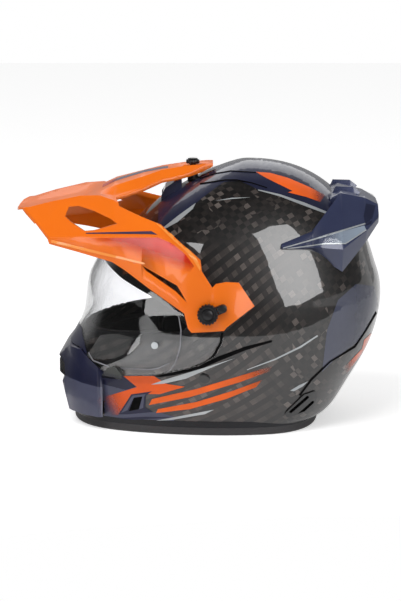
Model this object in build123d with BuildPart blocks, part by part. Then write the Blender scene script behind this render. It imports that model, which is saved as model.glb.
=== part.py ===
from build123d import *
from math import atan2, copysign, cos, degrees, pi, radians, sin
import os

# Dual sport helmet, its front toward -X, its left side toward -Y, standing on its base trim.
# Every outline below is in shares of the shell's length along X and of its height along Z.

# Driving sizes of the shell, with its foremost and rearmost points kept apart by the length
shell_length = 342.0
shell_width = 238.0
shell_height = 280.0
shell_wall = 4.0
trim_height = 8.0
overrun = 30.0
fine_gap = 0.3

# The widest station and the level of the greatest plan outline
middle_share = 0.146
front_share = 0.484
rear_share = 0.421
equator_share = 0.432
middle_x = shell_length * middle_share
front_reach = shell_length * front_share
rear_reach = shell_length * rear_share
equator_z = shell_height * equator_share

# Plan outlines below the equator: level, front reach, rear reach, half width, each against its greatest
base_sections_shares = (
    (0.0000, 1.100, 0.530, 0.840),
    (0.1062, 1.130, 0.660, 0.870),
    (0.3097, 1.160, 0.765, 0.908),
    (0.5398, 1.148, 0.875, 0.950),
    (0.7699, 1.063, 0.958, 0.983),
)
# How fast front, rear and sides draw in above the equator, and how full the plan outline is
front_rake_share = 0.77
rear_rake_share = 0.43
side_rake_share = 0.47
front_fullness = 2.45
rear_fullness = 2.25
dome_angles = (0, 17, 34, 50, 64, 76, 85)
outline_points = 12

# The axis that the shield and the peak turn on
pivot_x_share = 0.0234
pivot_z_share = 0.4821
pivot_x = shell_length * pivot_x_share
pivot_z = shell_height * pivot_z_share


def plan_point(turn, front, rear, half):
    """One point of a plan outline, a half oval ahead of the widest station and another behind it."""
    along, across = cos(turn), sin(turn)
    reach, fullness = (rear, rear_fullness) if along > 0 else (front, front_fullness)
    x = middle_x + reach * copysign(abs(along) ** (2 / fullness), along)
    y = half * copysign(abs(across) ** (2 / fullness), across)
    return x, y


def plan_outline(level, front, rear, half):
    """A smooth closed outline at one level."""
    turns = [2 * pi * i / outline_points for i in range(outline_points)]
    with BuildSketch(Plane.XY.offset(level)) as outline:
        with BuildLine():
            Spline(*[plan_point(turn, front, rear, half) for turn in turns], periodic=True)
        make_face()
    return outline.sketch


def base_outline(row, offset):
    """A plan outline below the equator, moved outward by an offset."""
    level, front, rear, side = row
    z = trim_height + level * (equator_z - trim_height)
    return plan_outline(
        z,
        (front_reach + offset) * front,
        (rear_reach + offset) * rear,
        (shell_width / 2 + offset) * side,
    )


def mould(offset):
    """The solid inside the shell's outer face, moved outward by an offset."""
    outlines = [base_outline(row, offset) for row in base_sections_shares]
    rise = shell_height - equator_z + offset
    for angle in dome_angles:
        height = sin(radians(angle))
        left = 1 - height * height
        outlines.append(
            plan_outline(
                equator_z + rise * height,
                (front_reach + offset) * left**front_rake_share,
                (rear_reach + offset) * left**rear_rake_share,
                (shell_width / 2 + offset) * left**side_rake_share,
            )
        )
    outlines.append(Vertex(middle_x, 0, equator_z + rise))
    with BuildPart() as solid:
        loft(sections=outlines)
    return solid.part


def placed(shares):
    """An outline given in shares, in real sizes."""
    return [(x * shell_length, z * shell_height) for x, z in shares]


def side_prism(points, y_low, y_high, corner=0, inset=0):
    """A prism with a side-view outline, from one Y to a higher one."""
    with BuildPart() as prism:
        with BuildSketch(Plane.XZ.offset(-y_high)) as face:
            with BuildLine():
                Polyline(*points, close=True)
            make_face()
            if corner:
                fillet(face.vertices(), corner)
            if inset:
                offset(amount=-inset, kind=Kind.INTERSECTION)
        extrude(amount=y_high - y_low)
    return prism.part


def plan_prism(points, z_low, z_high, corner=0):
    """A prism with an outline seen from above."""
    with BuildPart() as prism:
        with BuildSketch(Plane.XY.offset(z_low)) as face:
            with BuildLine():
                Polyline(*points, close=True)
            make_face()
            if corner:
                fillet(face.vertices(), corner)
        extrude(amount=z_high - z_low)
    return prism.part


def across_rod(x, z, radius, y_low, y_high):
    """A round bar along Y."""
    with BuildPart() as rod:
        with BuildSketch(Plane.XZ.offset(-y_high)):
            with Locations((x, z)):
                Circle(radius)
        extrude(amount=y_high - y_low)
    return rod.part


def keep(piece, name):
    """Labels a finished piece and writes it."""
    piece.label = name
    export_step(piece, "parts/" + name + ".step")


os.makedirs("parts", exist_ok=True)
wide = shell_width / 2 + overrun
outer_face = mould(0)
inner_face = mould(-shell_wall)

# Eyeport and its rubber edging
eyeport_shares = (
    (-0.55, 0.362), (-0.316, 0.369), (-0.151, 0.388), (-0.048, 0.391), (-0.026, 0.425),
    (-0.070, 0.485), (-0.150, 0.545), (-0.232, 0.592), (-0.300, 0.645), (-0.36, 0.660), (-0.55, 0.662),
)
eyeport_corner = 4.0
gasket_lap = 5.0
gasket_rise = 2.4
gasket_lip = 3.0
eyeport = side_prism(placed(eyeport_shares), -wide, wide, eyeport_corner)
with BuildPart() as gasket_outside:
    with BuildSketch(Plane.XZ.offset(-wide)):
        with BuildLine():
            Polyline(*placed(eyeport_shares), close=True)
        make_face()
        offset(amount=gasket_lap, kind=Kind.ARC)
    extrude(amount=2 * wide)
with BuildPart() as gasket_inside:
    with BuildSketch(Plane.XZ.offset(-wide)):
        with BuildLine():
            Polyline(*placed(eyeport_shares), close=True)
        make_face()
        offset(amount=-gasket_lip, kind=Kind.ARC)
    extrude(amount=2 * wide)

# Vents let into the shell
chin_vent_width = 52.0
chin_vent_low_share = 0.178
chin_vent_high_share = 0.222
neck_vent_shares = ((0.232, 0.050), (0.318, 0.152), (0.366, 0.166), (0.352, 0.092))
brow_hole_radius = 5.0
brow_hole_spread = 12.0
brow_hole_share = -0.0848
brow_hole_x = shell_length * brow_hole_share
chin_vent_hole = side_prism(
    placed(((-0.55, chin_vent_low_share), (-0.36, chin_vent_low_share),
            (-0.36, chin_vent_high_share), (-0.55, chin_vent_high_share))),
    -chin_vent_width / 2, chin_vent_width / 2,
)

# Rivets of the chin strap and screws of the pivots
rivet_x_share = 0.0146
rivet_z_share = 0.2286
rivet_x = shell_length * rivet_x_share
rivet_z = shell_height * rivet_z_share
rivet_shank_radius = 2.5
hub_radius = 16.0
spigot_radius = 8.0
screw_radius = 4.0

with BuildPart() as brow_holes:
    with BuildSketch(Plane.XY.offset(equator_z)):
        with Locations((brow_hole_x, brow_hole_spread), (brow_hole_x, -brow_hole_spread)):
            Circle(brow_hole_radius)
    extrude(amount=shell_height - equator_z)

with BuildPart() as shell:
    add(outer_face)
    strap_bore = across_rod(rivet_x, rivet_z, rivet_shank_radius, -wide, wide)
    screw_bore = across_rod(pivot_x, pivot_z, screw_radius, -wide, wide)
    neck_vent_hole = side_prism(placed(neck_vent_shares), -wide, wide, eyeport_corner)
    add(
        [inner_face, eyeport, chin_vent_hole, strap_bore, screw_bore, neck_vent_hole, brow_holes.part],
        mode=Mode.SUBTRACT,
    )
keep(shell.part, "shell")

with BuildPart() as shell_round_eyeport:
    add(outer_face)
    add(eyeport, mode=Mode.SUBTRACT)
with BuildPart() as eyeport_gasket:
    add(gasket_outside.part)
    add(gasket_inside.part, mode=Mode.SUBTRACT)
    add(mould(gasket_rise), mode=Mode.INTERSECT)
    add(inner_face, mode=Mode.SUBTRACT)
    add(shell_round_eyeport.part, mode=Mode.SUBTRACT)
keep(eyeport_gasket.part, "eyeport_gasket")

# Rubber base trim, which the helmet stands on
trim_lip = 3.0
trim_inside = 6.0
trim_overlap = 7.0
trim_round = 3.5
base_row = base_sections_shares[0]
with BuildPart() as base_trim:
    with BuildSketch():
        add(base_outline((0, *base_row[1:]), trim_lip).moved(Location((0, 0, -trim_height))))
        add(
            base_outline((0, *base_row[1:]), -trim_inside).moved(Location((0, 0, -trim_height))),
            mode=Mode.SUBTRACT,
        )
    extrude(amount=trim_height + trim_overlap)
    fillet(base_trim.edges().group_by(Axis.Z)[0].sort_by(SortBy.LENGTH)[-1], trim_round)
    add(outer_face, mode=Mode.SUBTRACT)
keep(base_trim.part, "base_trim")

# Foam liners inside the shell
liner_gap = 0.4
liner_thick = 34.0
liner_shares = (
    (-0.55, 0.676), (-0.35, 0.674), (-0.285, 0.660), (-0.215, 0.605), (-0.135, 0.556), (-0.040, 0.494),
    (-0.005, 0.452), (0.160, 0.452), (0.160, 0.165), (0.600, 0.165), (0.600, 1.100), (-0.55, 1.100),
)
with BuildPart() as impact_liner:
    add(side_prism(placed(liner_shares), -wide, wide))
    add(mould(-shell_wall - liner_gap), mode=Mode.INTERSECT)
    add([mould(-shell_wall - liner_gap - liner_thick), brow_holes.part], mode=Mode.SUBTRACT)
keep(impact_liner.part, "impact_liner")

chin_liner_thick = 20.0
chin_liner_shares = ((-0.55, 0.050), (-0.135, 0.050), (-0.135, 0.345), (-0.55, 0.325))
shutter_width = 58.0
shutter_height_share = 0.062
shutter_thick = 1.8
shutter_set_back = 9.5
shutter_travel = 9.0
shutter_tab = 14.0
shutter_gap = 0.5
chin_front_x = middle_x - front_reach * base_sections_shares[2][1]
shutter_x = chin_front_x + shutter_set_back
shutter_low = shell_height * chin_vent_low_share - shutter_travel - shutter_thick
shutter_high = shutter_low + shell_height * shutter_height_share
with BuildPart() as chin_liner:
    add(side_prism(placed(chin_liner_shares), -wide, wide))
    add(mould(-shell_wall - liner_gap), mode=Mode.INTERSECT)
    shutter_room = side_prism(
        [(-shell_length, shutter_low - shutter_gap),
         (shutter_x + shutter_thick + shutter_gap, shutter_low - shutter_gap),
         (shutter_x + shutter_thick + shutter_gap, shutter_high + shutter_travel + shutter_gap),
         (-shell_length, shutter_high + shutter_travel + shutter_gap)],
        -shutter_width / 2 - shutter_gap, shutter_width / 2 + shutter_gap,
    )
    tab_room = side_prism(
        [(-shell_length, shutter_low + shutter_tab / 2),
         (0, shutter_low + shutter_tab / 2),
         (0, shutter_high + shutter_travel),
         (-shell_length, shutter_high + shutter_travel)],
        -shutter_tab / 2 - shutter_gap, shutter_tab / 2 + shutter_gap,
    )
    add([mould(-shell_wall - liner_gap - chin_liner_thick), shutter_room, tab_room], mode=Mode.SUBTRACT)
keep(chin_liner.part, "chin_liner")

# Sliding shutter behind the chin intake, pushed up by a tab inside the chin bar
tab_reach = 18.0
tab_thick = 4.0
with BuildPart() as chin_vent_shutter:
    with BuildSketch(Plane.YZ.offset(shutter_x)):
        with Locations((0, (shutter_low + shutter_high) / 2)):
            RectangleRounded(shutter_width, shutter_high - shutter_low, tab_thick / 2)
    extrude(amount=shutter_thick)
    with BuildSketch(Plane.YZ.offset(shutter_x + shutter_thick)):
        with Locations((0, (shutter_low + shutter_high) / 2 + tab_thick)):
            RectangleRounded(shutter_tab - tab_thick, tab_thick, tab_thick / 4)
    extrude(amount=tab_reach)
keep(chin_vent_shutter.part, "chin_vent_shutter")

# Comfort liner: crown pad, cheek pads and neck roll
crown_pad_thick = 9.0
crown_pad_shares = (
    (-0.55, 0.700), (-0.285, 0.700), (-0.200, 0.640), (-0.100, 0.590), (0.020, 0.520),
    (0.160, 0.470), (0.160, 0.300), (0.600, 0.300), (0.600, 1.100), (-0.55, 1.100),
)
with BuildPart() as crown_pad:
    add(side_prism(placed(crown_pad_shares), -wide, wide))
    add(mould(-shell_wall - liner_gap - liner_thick - fine_gap), mode=Mode.INTERSECT)
    add(mould(-shell_wall - liner_gap - liner_thick - fine_gap - crown_pad_thick), mode=Mode.SUBTRACT)
keep(crown_pad.part, "crown_pad")

strap_room = 6.4
cheek_thick = 30.0
cheek_corner = 8.0
cheek_shares = (
    (-0.125, 0.075), (-0.128, 0.350), (-0.020, 0.362), (0.010, 0.440), (0.152, 0.440), (0.152, 0.075),
)
with BuildPart() as cheek_pad_left:
    add(side_prism(placed(cheek_shares), -wide, 0, cheek_corner))
    add(mould(-shell_wall - strap_room), mode=Mode.INTERSECT)
    add(mould(-shell_wall - strap_room - cheek_thick), mode=Mode.SUBTRACT)
keep(cheek_pad_left.part, "cheek_pad_left")
with BuildPart() as cheek_pad_right:
    add(mirror(cheek_pad_left.part, about=Plane.XZ))
keep(cheek_pad_right.part, "cheek_pad_right")

neck_roll_thick = 22.0
neck_roll_shares = ((0.165, 0.045), (0.165, 0.155), (0.600, 0.155), (0.600, 0.045))
with BuildPart() as neck_roll:
    add(side_prism(placed(neck_roll_shares), -wide, wide))
    add(mould(-shell_wall - 2 * liner_gap), mode=Mode.INTERSECT)
    add(mould(-shell_wall - 2 * liner_gap - neck_roll_thick), mode=Mode.SUBTRACT)
keep(neck_roll.part, "neck_roll")

# Outline of the clear shield, which the chin guard stays clear of
shield_gap = 6.0
shield_thick = 2.2
shield_corner = 6.0
shield_clear = 1.0
shield_bore_gap = 0.1
shield_shares = (
    (-0.366, 0.308), (-0.341, 0.279), (-0.296, 0.237), (-0.228, 0.228), (-0.151, 0.237), (-0.075, 0.255),
    (0.000, 0.281), (0.046, 0.317), (0.067, 0.362), (0.080, 0.430), (0.082, 0.500), (0.060, 0.545),
    (-0.050, 0.575), (-0.150, 0.625), (-0.240, 0.668), (-0.310, 0.682), (-0.55, 0.684), (-0.55, 0.308),
)
shield_body = side_prism(placed(shield_shares), -wide, wide, shield_corner)
shield_bore = across_rod(pivot_x, pivot_z, spigot_radius + shield_bore_gap, -wide, wide)
shield_inner = mould(shield_gap)

# Chin guard with its beak, seated on the front of the shell
guard_profile_shares = (
    (-0.300, 0.346), (-0.373, 0.346), (-0.420, 0.286), (-0.445, 0.241), (-0.428, 0.230),
    (-0.422, 0.178), (-0.433, 0.148), (-0.409, 0.056), (-0.300, 0.056),
)
guard_plan_shares = (
    (-0.4480, 0.000), (-0.4400, -0.050), (-0.4230, -0.130), (-0.3980, -0.210), (-0.3650, -0.285),
    (-0.3150, -0.350), (-0.2900, -0.350), (-0.2900, 0.000),
)
intake_width = 60.0
intake_low_share = 0.172
intake_high_share = 0.226
bar_count = 5
bar_width = 2.2
grille_thick = 2.5
half_plan = [(x * shell_length, y * shell_width) for x, y in guard_plan_shares]
guard_plan = half_plan + [(x, -y) for x, y in half_plan[-2:0:-1]]
intake = side_prism(
    placed(((-0.55, intake_low_share), (-0.300, intake_low_share),
            (-0.300, intake_high_share), (-0.55, intake_high_share))),
    -intake_width / 2, intake_width / 2,
)
with BuildPart() as chin_guard:
    add(side_prism(placed(guard_profile_shares), -wide, wide))
    add(plan_prism(guard_plan, 0, shell_height), mode=Mode.INTERSECT)
    shield_room = side_prism(placed(shield_shares), -wide, wide, inset=-shield_clear)
    add([outer_face, intake, shield_room], mode=Mode.SUBTRACT)
keep(chin_guard.part, "chin_guard")

# Mesh frame that closes the chin intake, held in the guard's mouth
frame_width = intake_width - 2 * fine_gap
frame_low = shell_height * intake_low_share + fine_gap
frame_high = shell_height * intake_high_share - fine_gap
pitch = (frame_width - bar_width) / (bar_count + 1)
with BuildPart() as frame_block:
    with BuildSketch(Plane.YZ.offset(-shell_length)):
        with Locations((0, (frame_low + frame_high) / 2)):
            Rectangle(frame_width, frame_high - frame_low)
            with GridLocations(pitch, 0, bar_count + 1, 1):
                Rectangle(pitch - bar_width, frame_high - frame_low - 2 * bar_width, mode=Mode.SUBTRACT)
    extrude(amount=shell_length)
with BuildPart() as chin_grille:
    with BuildSketch(Plane.XY.offset(frame_low)):
        with BuildLine():
            Polyline(*guard_plan, close=True)
        make_face()
        offset(amount=-grille_thick / 2, kind=Kind.INTERSECTION)
    extrude(amount=frame_high - frame_low)
    add(frame_block.part, mode=Mode.INTERSECT)
    add(outer_face, mode=Mode.SUBTRACT)
keep(chin_grille.part, "chin_grille")

# Clear shield, a skin that follows the shell and turns on the side hubs
with BuildPart() as face_shield:
    add(shield_body)
    add(mould(shield_gap + shield_thick), mode=Mode.INTERSECT)
    add([shield_inner, shield_bore], mode=Mode.SUBTRACT)
keep(face_shield.part, "face_shield")

# Anti-fog lens held inside the shield between two pins
lens_gap = 0.4
lens_thick = 1.0
lens_corner = 10.0
lens_shares = (
    (-0.55, 0.330), (-0.330, 0.330), (-0.290, 0.270), (-0.228, 0.262), (-0.110, 0.272),
    (-0.085, 0.300), (-0.085, 0.520), (-0.180, 0.600), (-0.270, 0.640), (-0.55, 0.645),
)
with BuildPart() as anti_fog_lens:
    add(side_prism(placed(lens_shares), -wide, wide, lens_corner))
    add(mould(shield_gap - lens_gap), mode=Mode.INTERSECT)
    add(mould(shield_gap - lens_gap - lens_thick), mode=Mode.SUBTRACT)
keep(anti_fog_lens.part, "anti_fog_lens")

# Pins that hold the lens, and the lift tab on the shield's lower left edge
pin_x_share = -0.137
pin_z_share = 0.353
pin_radius = 3.6
pin_rise = 2.0
pin_x = pin_x_share * shell_length
pin_z = pin_z_share * shell_height
with BuildPart() as lens_pins:
    add(across_rod(pin_x, pin_z, pin_radius, -wide, wide))
    add(mould(shield_gap + shield_thick + pin_rise), mode=Mode.INTERSECT)
    add(mould(shield_gap + shield_thick), mode=Mode.SUBTRACT)
keep(lens_pins.part, "lens_pins")

tab_shares = (
    (-0.305, 0.216), (-0.285, 0.250), (-0.268, 0.262), (-0.252, 0.254), (-0.240, 0.240), (-0.236, 0.217),
)
tab_rise = 4.5
tab_corner = 1.5
with BuildPart() as shield_tab:
    add(side_prism(placed(tab_shares), -wide, 0, tab_corner))
    add(mould(shield_gap + shield_thick + tab_rise), mode=Mode.INTERSECT)
    add(mould(shield_gap + fine_gap), mode=Mode.SUBTRACT)
    add(face_shield.part, mode=Mode.SUBTRACT)
keep(shield_tab.part, "shield_tab")

# Side hubs: a plate on the shell with a spigot that the shield turns on
hub_rise = 1.0
spigot_top = 8.8
knob_stem_radius = 5.0
stem_gap = 0.05
hub_y = shell_width / 2 + hub_rise
spigot_y = shell_width / 2 + spigot_top
with BuildPart() as hub_left:
    add(across_rod(pivot_x, pivot_z, hub_radius, -hub_y, -shell_width / 2 + shell_wall))
    add(across_rod(pivot_x, pivot_z, spigot_radius, -spigot_y, -shell_width / 2))
    add(outer_face, mode=Mode.SUBTRACT)
    add(across_rod(pivot_x, pivot_z, knob_stem_radius + stem_gap, -spigot_y, -shell_width / 2 + hub_rise / 2),
        mode=Mode.SUBTRACT)
keep(hub_left.part, "hub_left")
with BuildPart() as hub_right:
    add(mirror(hub_left.part, about=Plane.XZ))
    add(outer_face, mode=Mode.SUBTRACT)
keep(hub_right.part, "hub_right")

# Peak: one moulding whose half sections run from the middle out to the lip
peak_thick = 2.6
peak_stations_shares = (
    (-0.585, ((0.000, 0.811), (0.067, 0.814), (0.126, 0.821), (0.176, 0.829), (0.227, 0.782), (0.218, 0.357))),
    (-0.526, ((0.000, 0.823), (0.076, 0.827), (0.143, 0.834), (0.193, 0.836), (0.269, 0.782), (0.256, 0.357))),
    (-0.459, ((0.000, 0.836), (0.084, 0.841), (0.160, 0.852), (0.214, 0.859), (0.361, 0.743), (0.349, 0.357))),
    (-0.365, ((0.000, 0.857), (0.092, 0.864), (0.176, 0.875), (0.235, 0.884), (0.412, 0.750), (0.403, 0.357))),
    (-0.307, ((0.000, 0.893), (0.134, 0.891), (0.189, 0.886), (0.252, 0.887), (0.437, 0.755), (0.424, 0.357))),
    (-0.263, ((0.000, 0.920), (0.160, 0.914), (0.214, 0.882), (0.277, 0.871), (0.450, 0.757), (0.441, 0.357))),
    (-0.175, ((0.000, 0.954), (0.126, 0.945), (0.168, 0.909), (0.412, 0.827), (0.479, 0.762), (0.492, 0.357))),
    (-0.117, ((0.000, 0.964), (0.088, 0.966), (0.122, 0.938), (0.458, 0.804), (0.504, 0.762), (0.513, 0.357))),
    (-0.047, ((0.000, 0.971), (0.076, 0.980), (0.101, 0.952), (0.513, 0.732), (0.534, 0.711), (0.542, 0.357))),
    (0.041, ((0.000, 0.980), (0.076, 0.989), (0.088, 0.973), (0.529, 0.664), (0.557, 0.636), (0.557, 0.357))),
    (0.181, ((0.000, 0.991), (0.076, 1.000), (0.088, 0.984), (0.529, 0.664), (0.557, 0.636), (0.557, 0.357))),
)
peak_side_shares = (
    (-0.599, 1.071), (-0.257, 1.071), (-0.249, 0.868), (-0.184, 0.830), (-0.137, 0.823), (-0.105, 0.793),
    (-0.067, 0.762), (-0.044, 0.730), (0.002, 0.679), (0.006, 0.639), (0.037, 0.579), (0.048, 0.593),
    (0.078, 0.600), (0.117, 0.598), (0.164, 0.511), (0.080, 0.431), (0.073, 0.419), (-0.025, 0.410),
    (-0.036, 0.426), (-0.047, 0.481), (-0.147, 0.562), (-0.226, 0.631), (-0.265, 0.660), (-0.365, 0.691),
    (-0.458, 0.716), (-0.463, 0.732), (-0.496, 0.773), (-0.524, 0.807), (-0.550, 0.818), (-0.599, 0.818),
)
peak_plan_shares = (
    (-0.5712, 0.000), (-0.568, 0.076), (-0.559, 0.143), (-0.546, 0.181), (-0.462, 0.353), (-0.439, 0.525),
    (0.234, 0.630),
)
opening_plan_shares = (
    (-0.257, 0.239), (-0.175, 0.181), (-0.117, 0.134), (-0.047, 0.105), (0.000, 0.086), (0.041, 0.068),
    (0.041, 0.000), (0.234, 0.000), (0.234, 0.532), (0.009, 0.531), (-0.047, 0.515), (-0.117, 0.460),
    (-0.175, 0.414), (-0.246, 0.315),
)
window_shares = (
    (-0.401, 0.844), (-0.411, 0.812), (-0.392, 0.795), (-0.348, 0.768), (-0.320, 0.772), (-0.250, 0.796),
    (-0.272, 0.812), (-0.320, 0.834), (-0.370, 0.849),
)
arm_slot_shares = ((-0.173, 0.651), (-0.068, 0.583), (-0.039, 0.523), (-0.073, 0.562), (-0.163, 0.634))
window_inner_y = 40.0
wing_inner_y = 62.0
stem_radius = 3.0
top_slot_width = 7.0
top_slot_ahead = 10.0
top_slot_behind = 14.0
top_knob_share = -0.0222
top_knob_x = shell_length * top_knob_share
ear_bore_gap = 0.4


def peak_half(points, inset):
    """The half section's points in real sizes, drawn in by an inset."""
    spots = [(0, points[0][1] * shell_height - inset)]
    for y, z in points[1:]:
        spots.append((y * shell_width - inset, z * shell_height - inset))
    return spots


def peak_block(inset):
    """The peak's envelope, closed along its underside."""
    sections = []
    for x, points in peak_stations_shares:
        right = peak_half(points, inset)
        left = [(-y, z) for y, z in right[:0:-1]]
        with BuildSketch(Plane.YZ.offset(x * shell_length)) as section:
            with BuildLine():
                Polyline(*right, *left, close=True)
            make_face()
        sections.append(section.sketch)
    with BuildPart() as block:
        loft(sections=sections, ruled=True)
    return block.part


plan_right = [(x * shell_length, y * shell_width) for x, y in peak_plan_shares]
plan_left = [(x, -y) for x, y in plan_right[:0:-1]]
opening_right = [(x * shell_length, y * shell_width) for x, y in opening_plan_shares]
opening_left = [(x, -y) for x, y in opening_right]
with BuildPart() as wing_room:
    add(side_prism(placed(peak_side_shares), -2 * wide, 2 * wide))
    with BuildSketch(Plane.XY.offset(shell_height / 2)):
        Rectangle(2 * shell_length, 2 * wing_inner_y)
    extrude(amount=shell_height)
with BuildPart() as peak:
    add(peak_block(0))
    add(peak_block(peak_thick), mode=Mode.SUBTRACT)
    add(wing_room.part, mode=Mode.INTERSECT)
    add(plan_prism(plan_right + plan_left, 0, 2 * shell_height), mode=Mode.INTERSECT)
    cuts = [
        plan_prism(opening_right, 0, 2 * shell_height),
        plan_prism(opening_left, 0, 2 * shell_height),
        side_prism(placed(window_shares), -wide, -window_inner_y),
        side_prism(placed(window_shares), window_inner_y, wide),
        side_prism(placed(arm_slot_shares), -wide, wide),
        across_rod(pivot_x, pivot_z, knob_stem_radius + ear_bore_gap, -wide, wide),
        plan_prism(
            [(top_knob_x - top_slot_ahead, -top_slot_width / 2), (top_knob_x + top_slot_behind, -top_slot_width / 2),
             (top_knob_x + top_slot_behind, top_slot_width / 2), (top_knob_x - top_slot_ahead, top_slot_width / 2)],
            shell_height / 2, 2 * shell_height),
    ]
    add(cuts, mode=Mode.SUBTRACT)
keep(peak.part, "peak")

# Side knobs: a knurled quarter-turn head with a finger lug, on a stem that enters the hub
knob_radius = 10.8
knob_head = 5.5
knob_gap = 0.5
lug_reach = 20.9
lug_width = 8.5
lug_angle = 22.0
notch_count = 18
notch_radius = 0.9
dish_radius = 7.0
dish_depth = 1.2
ear_face_y = shell_width * peak_stations_shares[-1][1][-1][0]
knob_base_y = ear_face_y + knob_gap
with BuildPart() as knob_left:
    with BuildSketch(Plane.XZ.offset(knob_base_y)):
        with Locations((pivot_x, pivot_z)):
            Circle(knob_radius)
        with Locations(Location((pivot_x, pivot_z, 0), (0, 0, lug_angle))):
            with Locations(((lug_reach - lug_width / 2) / 2, 0)):
                SlotOverall(lug_reach + lug_width / 2, lug_width)
        with Locations((pivot_x, pivot_z)):
            with PolarLocations(knob_radius, notch_count, start_angle=lug_angle + 180 / notch_count):
                Circle(notch_radius, mode=Mode.SUBTRACT)
    extrude(amount=knob_head)
    with BuildSketch(Plane.XZ.offset(knob_base_y + knob_head - dish_depth)):
        with Locations((pivot_x, pivot_z)):
            Circle(dish_radius)
            Circle(knob_stem_radius, mode=Mode.SUBTRACT)
    extrude(amount=dish_depth, mode=Mode.SUBTRACT)
    with BuildSketch(Plane.XZ.offset(knob_base_y)):
        with Locations((pivot_x, pivot_z)):
            Circle(knob_stem_radius)
    extrude(amount=-(knob_base_y - shell_width / 2 - hub_rise))
keep(knob_left.part, "knob_left")
with BuildPart() as knob_right:
    add(mirror(knob_left.part, about=Plane.XZ))
keep(knob_right.part, "knob_right")

# Threaded boss on the crown and the thumb screw that clamps the peak on it
boss_radius = 5.6
boss_top_share = 0.9593
boss_top = shell_height * boss_top_share
boss_depth = 16.8
boss_bore_depth = 7.5
screw_gap = 0.05
top_knob_radius = 7.2
top_knob_base_share = 0.9821
top_knob_base = shell_height * top_knob_base_share
top_knob_height = 5.4
top_knob_crown = 1.6
top_notches = 14
top_knob_taper = 40
with BuildPart() as peak_boss:
    with BuildSketch(Plane.XY.offset(boss_top)):
        with Locations((top_knob_x, 0)):
            Circle(boss_radius)
    extrude(amount=-boss_depth)
    add(outer_face, mode=Mode.SUBTRACT)
    with BuildSketch(Plane.XY.offset(boss_top)):
        with Locations((top_knob_x, 0)):
            Circle(stem_radius + screw_gap)
    extrude(amount=-boss_bore_depth, mode=Mode.SUBTRACT)
keep(peak_boss.part, "peak_boss")

with BuildPart() as top_knob:
    with BuildSketch(Plane.XY.offset(top_knob_base)):
        with Locations((top_knob_x, 0)):
            Circle(top_knob_radius)
            with PolarLocations(top_knob_radius, top_notches):
                Circle(notch_radius, mode=Mode.SUBTRACT)
    extrude(amount=top_knob_height - top_knob_crown)
    with BuildSketch(Plane.XY.offset(top_knob_base + top_knob_height - top_knob_crown)):
        with Locations((top_knob_x, 0)):
            Circle(top_knob_radius - notch_radius)
    extrude(amount=top_knob_crown, taper=top_knob_taper)
    with BuildSketch(Plane.XY.offset(top_knob_base)):
        with Locations((top_knob_x, 0)):
            Circle(stem_radius)
    extrude(amount=-(top_knob_base - boss_top + boss_bore_depth - screw_gap))
keep(top_knob.part, "top_knob")

# Forehead intake: a cowl over two holes in the shell, with a sliding shutter inside
cowl_width = 44.0
cowl_wall = 2.2
cowl_shares = (
    (-0.120, 0.768), (-0.120, 0.868), (-0.108, 0.896), (-0.076, 0.923), (-0.056, 0.929), (-0.056, 0.768),
)
cowl_room_shares = (
    (-0.140, 0.768), (-0.140, 0.866), (-0.104, 0.887), (-0.077, 0.911), (-0.064, 0.915), (-0.064, 0.768),
)
with BuildPart() as brow_vent_housing:
    add(side_prism(placed(cowl_shares), -cowl_width / 2, cowl_width / 2))
    fillet(brow_vent_housing.edges().filter_by(Axis.Y).group_by(Axis.Z)[-1], cowl_wall / 2)
    room = side_prism(placed(cowl_room_shares), -cowl_width / 2 + cowl_wall, cowl_width / 2 - cowl_wall)
    add([outer_face, room], mode=Mode.SUBTRACT)
keep(brow_vent_housing.part, "brow_vent_housing")


def crown_height(x):
    """The level of the shell's outer face on its middle line, ahead of the widest station."""
    reach = (middle_x - x) / front_reach
    return equator_z + (shell_height - equator_z) * (1 - reach ** (1 / front_rake_share)) ** 0.5


plate_length = 12.0
plate_width = 36.0
plate_thick = 1.6
plate_gap = 1.0
plate_tab = 2.2
slope_run = 6.0
brow_rise = crown_height(brow_hole_x + slope_run) - crown_height(brow_hole_x - slope_run)
brow_slope = degrees(atan2(brow_rise, 2 * slope_run))
brow_plane = Plane(
    origin=(brow_hole_x, 0, crown_height(brow_hole_x)),
    x_dir=(cos(radians(brow_slope)), 0, sin(radians(brow_slope))),
    z_dir=(-sin(radians(brow_slope)), 0, cos(radians(brow_slope))),
)
with BuildPart() as brow_vent_slider:
    with BuildSketch(brow_plane.offset(plate_gap)):
        RectangleRounded(plate_length, plate_width, plate_thick)
    extrude(amount=plate_thick)
    with BuildSketch(brow_plane.offset(plate_gap + plate_thick)):
        with Locations((-plate_length / 2 + plate_thick, 0)):
            SlotOverall(plate_width / 2, plate_thick, rotation=90)
    extrude(amount=plate_tab)
keep(brow_vent_slider.part, "brow_vent_slider")

# Rear spoiler: a winged exhaust moulding, its centre and its two wings lofted through flat sections
centre_shares = (
    (0.401, 0.193, 0.868, 0.888, 0.714),
    (0.433, 0.193, 0.889, 0.904, 0.696),
    (0.509, 0.168, 0.868, 0.882, 0.743),
    (0.550, 0.168, 0.843, 0.850, 0.786),
)
wing_shares = (
    (0.246, ((0.424, 0.725), (0.441, 0.720), (0.441, 0.709), (0.424, 0.704), (0.380, 0.714))),
    (0.339, ((0.370, 0.764), (0.433, 0.746), (0.424, 0.711), (0.370, 0.686), (0.290, 0.725))),
    (0.433, ((0.193, 0.889), (0.361, 0.764), (0.395, 0.700), (0.378, 0.614), (0.150, 0.715))),
    (0.509, ((0.168, 0.868), (0.277, 0.782), (0.294, 0.757), (0.277, 0.714), (0.120, 0.750))),
    (0.550, ((0.168, 0.843), (0.218, 0.814), (0.223, 0.800), (0.210, 0.779), (0.150, 0.793))),
)
fin_shares = ((0.404, 0.866), (0.420, 0.907), (0.474, 0.905), (0.497, 0.884), (0.470, 0.850))
fin_share = 0.1176
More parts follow.
